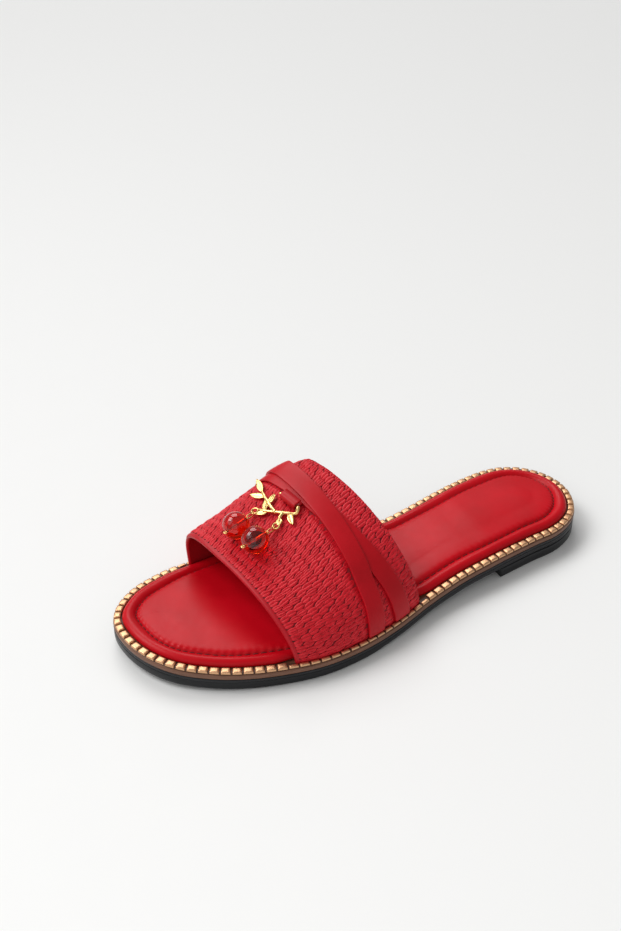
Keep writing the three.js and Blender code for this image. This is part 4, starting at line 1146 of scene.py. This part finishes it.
def make_ornament():
    """Bar, stems, leaves and eyelets, cast in one."""
    metal = Parts()
    reach = TAB_WIDTH / 2 + BAR_PLAY + STEM_RADIUS
    bar = apply(TAB_LAY, [(x, TAB_ROUND - TAB_REACH, 0) for x in np.linspace(-reach, reach, 9)])
    metal.add(*tube(bar, BAR_RADIUS, STEM_SIDES))
    for n, stem in enumerate(STEMS):
        places = [on_band(u, v, STEM_HEIGHT) for u, v in stem]
        if n == 0:
            places[0] = bar[-1]
        smooth, _ = catmull(places, False, 12)
        share = np.linspace(0, 1, len(smooth))
        radii = STEM_RADIUS * (1.02 - 0.3 * share + 0.07 * np.sin(share * 17 + n) + 0.04 * np.sin(share * 41))
        radii = radii * (1 - 0.3 * smoothstep(share, 0.86, 1))
        metal.add(*tube(smooth, radii, STEM_SIDES))
    for u, v, degrees, size in LEAVES:
        points, faces = leaf(size)
        c, s = math.cos(math.radians(degrees)), math.sin(math.radians(degrees))
        spin = np.array([[c, -s, 0], [s, c, 0], [0, 0, 1]])
        tilt = rng.uniform(*LEAF_LEAN)
        c, s = math.cos(tilt), math.sin(tilt)
        lean = np.array([[c, 0, -s], [0, 1, 0], [s, 0, c]])
        metal.add(apply(lay_on_band(u, v, STEM_HEIGHT), points @ lean.T @ spin.T), faces)
    angle = np.linspace(0, 2 * np.pi, 32, endpoint=False)
    circle = EYELET_RADIUS * np.column_stack([np.cos(angle), np.sin(angle), 0 * angle])
    for u, v in EYELETS.values():
        eyelet = apply(lay_on_band(u, v, EYELET_HEIGHT), circle)
        metal.add(*tube(eyelet, EYELET_SLIM * EYELET_WIRE, 12, closed=True))
    piece = metal.build("ornament_sprig", bright_gold, "gold", recalc=True)
    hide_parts("ornament")


# Drops

def joint(name):
    return next(j for j in frame["joints"] if j["name"] == name)


def drop_basis(side, distance):
    """x runs down the drop, y across it and z away from the band."""
    lift = joint(f"link_{side}_lift")
    hook = np.array(lift["pos_m"]) * 1000 - SHIFT
    across = np.array(lift["axis"])
    up = np.array(joint(f"pin_{side}_swing")["axis"])
    way = unit(np.cross(up, across))
    return np.array([way, -unit(across), unit(up), hook + way * distance])


def make_link(side):
    """An oval wire ring that stands on edge in the eyelet."""
    radius = max(EYELET_WIRE, PIN_WIRE) + LINK_PLAY + LINK_WIRE
    start = radius - (EYELET_WIRE + LINK_PLAY + LINK_WIRE)
    end = LINK_LENGTH - radius + PIN_WIRE + LINK_PLAY + LINK_WIRE
    bends = []
    for middle, first in ((start, math.pi / 2), (end, -math.pi / 2)):
        a = np.linspace(first, first + math.pi, 13)
        bends.append(np.column_stack([middle + radius * np.cos(a), 0 * a, radius * np.sin(a)]))
    near, far = bends
    share = np.linspace(0, 1, 6)[1:-1, None]
    loop = [near, near[-1] + (far[0] - near[-1]) * share, far, far[-1] + (near[0] - far[-1]) * share]
    loop = apply(drop_basis(side, 0), np.concatenate(loop))
    wire = tube(loop, LINK_SLIM * LINK_WIRE, WIRE_SIDES, closed=True)
    piece = build(f"link_{side}_wire", *wire, bright_gold, "gold", f"link_{side}", recalc=False)
    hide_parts(f"link_{side}")


def make_pin(side):
    """An eye at the top, a straight shaft through the bead and a small curl below it."""
    start = 2 * PIN_EYE
    end = start + PIN_SHOW + BEAD_DIAMETER + PIN_SHOW
    a = np.linspace(math.radians(8), math.radians(352), 26)
    eye = np.column_stack([PIN_EYE * (1 + np.cos(a)), PIN_EYE * np.sin(a), np.linspace(0.12, -0.12, 26)])
    shaft = np.linspace(start + 0.2, end, 24)
    a = np.linspace(-math.pi, math.pi * 0.72, 24)
    radius = PIN_CURL * np.linspace(1.0, 0.8, 24)
    curl = np.column_stack([end + PIN_CURL + radius * np.cos(a), radius * np.sin(a), 0 * a])
    lay = drop_basis(side, LINK_LENGTH)
    wire = Parts()
    wire.add(*tube(apply(lay, eye), PIN_EYE_SLIM * PIN_WIRE, WIRE_SIDES))
    wire.add(*tube(apply(lay, np.column_stack([shaft, 0 * shaft, 0 * shaft])), PIN_WIRE, WIRE_SIDES))
    wire.add(*tube(apply(lay, curl), PIN_WIRE, WIRE_SIDES))
    piece = wire.build(f"pin_{side}_wire", bright_gold, "gold", f"pin_{side}", recalc=True)
    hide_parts(f"pin_{side}")


def make_bead(side):
    """A round glass bead with a bore for the pin."""
    shown = BEAD_DIAMETER / 2 - BEAD_SLIM
    bore = PIN_WIRE + 0.12
    low = math.asin(bore / shown)
    outline = [(shown * math.sin(a), -shown * math.cos(a)) for a in np.linspace(low, math.pi - low, 56)]
    outline += [(bore, shown * math.cos(low) * k) for k in np.linspace(1, -1, 12)[1:-1]]
    outline.append(outline[0])
    turn = 2 * np.pi * np.arange(BEAD_SIDES) / BEAD_SIDES
    rows = [np.column_stack([x + 0 * turn, out * np.cos(turn), out * np.sin(turn)]) for out, x in outline]
    count = (len(rows) - 1) * BEAD_SIDES
    faces = [[i % count for i in face] for face in grid_faces(len(rows), BEAD_SIDES, wrap=True)]
    lay = drop_basis(side, LINK_LENGTH + 2 * PIN_EYE + PIN_SHOW + BEAD_DIAMETER / 2)
    points = apply(lay, np.concatenate(rows[:-1]))
    piece = build(f"bead_{side}_glass", points, faces, bead_glass, "glass", f"bead_{side}")
    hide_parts(f"bead_{side}")


make_outsole()
make_midsole()
make_heel()
make_rand_blocks()
make_rand_base()
make_insole()
make_insole_stitches()
make_band()
make_weave()
make_band_stitches()
lower = make_strap("strap_lower", LOWER_STRAP)
make_strap("strap_upper", UPPER_STRAP)
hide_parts("straps")
make_tab()
make_ornament()
for drop in "ab":
    make_link(drop)
    make_pin(drop)
    make_bead(drop)

# Floor, light and camera

FLOOR_HALF = 6
AIM = (0, -0.02, 0.02)
SENSOR = 36
FOCAL_PIXELS = 1100
PICTURE_HEIGHT = 931
CAMERA_PLACE = (378.2910, -86.3526, 356.4702)  # in the last's frame
CAMERA_WAY = (-0.7433, 0.3671, -0.5592)
CAMERA_RIGHT = (0.4428, 0.8966, 0)


def place_in_scene(name, data):
    holder = bpy.data.objects.new(name, data)
    bpy.context.collection.objects.link(holder)
    return holder


def aimed(way):
    return Vector(way).to_track_quat("-Z", "Y").to_euler()


def area_light(name, place, size, power):
    """A square lamp aimed at the sandal."""
    lamp = bpy.data.lights.new(name, "AREA")
    lamp.size = size
    lamp.energy = power
    holder = place_in_scene(name, lamp)
    holder.location = place
    holder.rotation_euler = aimed(Vector(AIM) - Vector(place))


def sky_light(name, way, energy, spread):
    """A wide distant lamp, spread in degrees."""
    lamp = bpy.data.lights.new(name, "SUN")
    lamp.energy = energy
    lamp.angle = math.radians(spread)
    place_in_scene(name, lamp).rotation_euler = aimed(way)


floor_mesh = bpy.data.meshes.new("floor")
corners = [(x * FLOOR_HALF, y * FLOOR_HALF, 0) for x, y in ((-1, -1), (1, -1), (1, 1), (-1, 1))]
floor_mesh.from_pydata(corners, [], [(0, 1, 2, 3)])
floor = place_in_scene("floor", floor_mesh)
floor_paint, floor_shader = new_material("floor_paint", (0.86, 0.86, 0.85), 0.6)
uneven_gloss(floor_paint, floor_shader, 0.55, 0.65, scale=0.05)
floor_mesh.materials.append(floor_paint)

bpy.context.scene.view_settings.view_transform = "Standard"
world = bpy.data.worlds.new("studio")
bpy.context.scene.world = world
world.use_nodes = True
background = world.node_tree.nodes["Background"]
background.inputs["Color"].default_value = (1, 1, 1, 1)
background.inputs["Strength"].default_value = 0.32
sky_light("softbox", (0.66, -0.14, -0.73), 1.1, 34)
sky_light("window", (0.42, 0.5, -0.76), 1.25, 30)
area_light("fill", (-0.25, -0.9, 0.9), 0.9, 3.2)
area_light("front", (0.62, -0.5, 0.45), 0.7, 1.0)

camera_data = bpy.data.cameras.new("camera")
camera = place_in_scene("camera", camera_data)
camera_data.sensor_width = SENSOR
camera_data.lens = SENSOR * FOCAL_PIXELS / PICTURE_HEIGHT
camera_data.clip_start = 0.01
forward = Vector(CAMERA_WAY).normalized()
right = Vector(CAMERA_RIGHT).normalized()
turned = Matrix((right, right.cross(forward), -forward)).transposed().to_4x4()
camera.matrix_world = Matrix.Translation(Vector(to_row(CAMERA_PLACE))) @ turned
bpy.context.scene.camera = camera
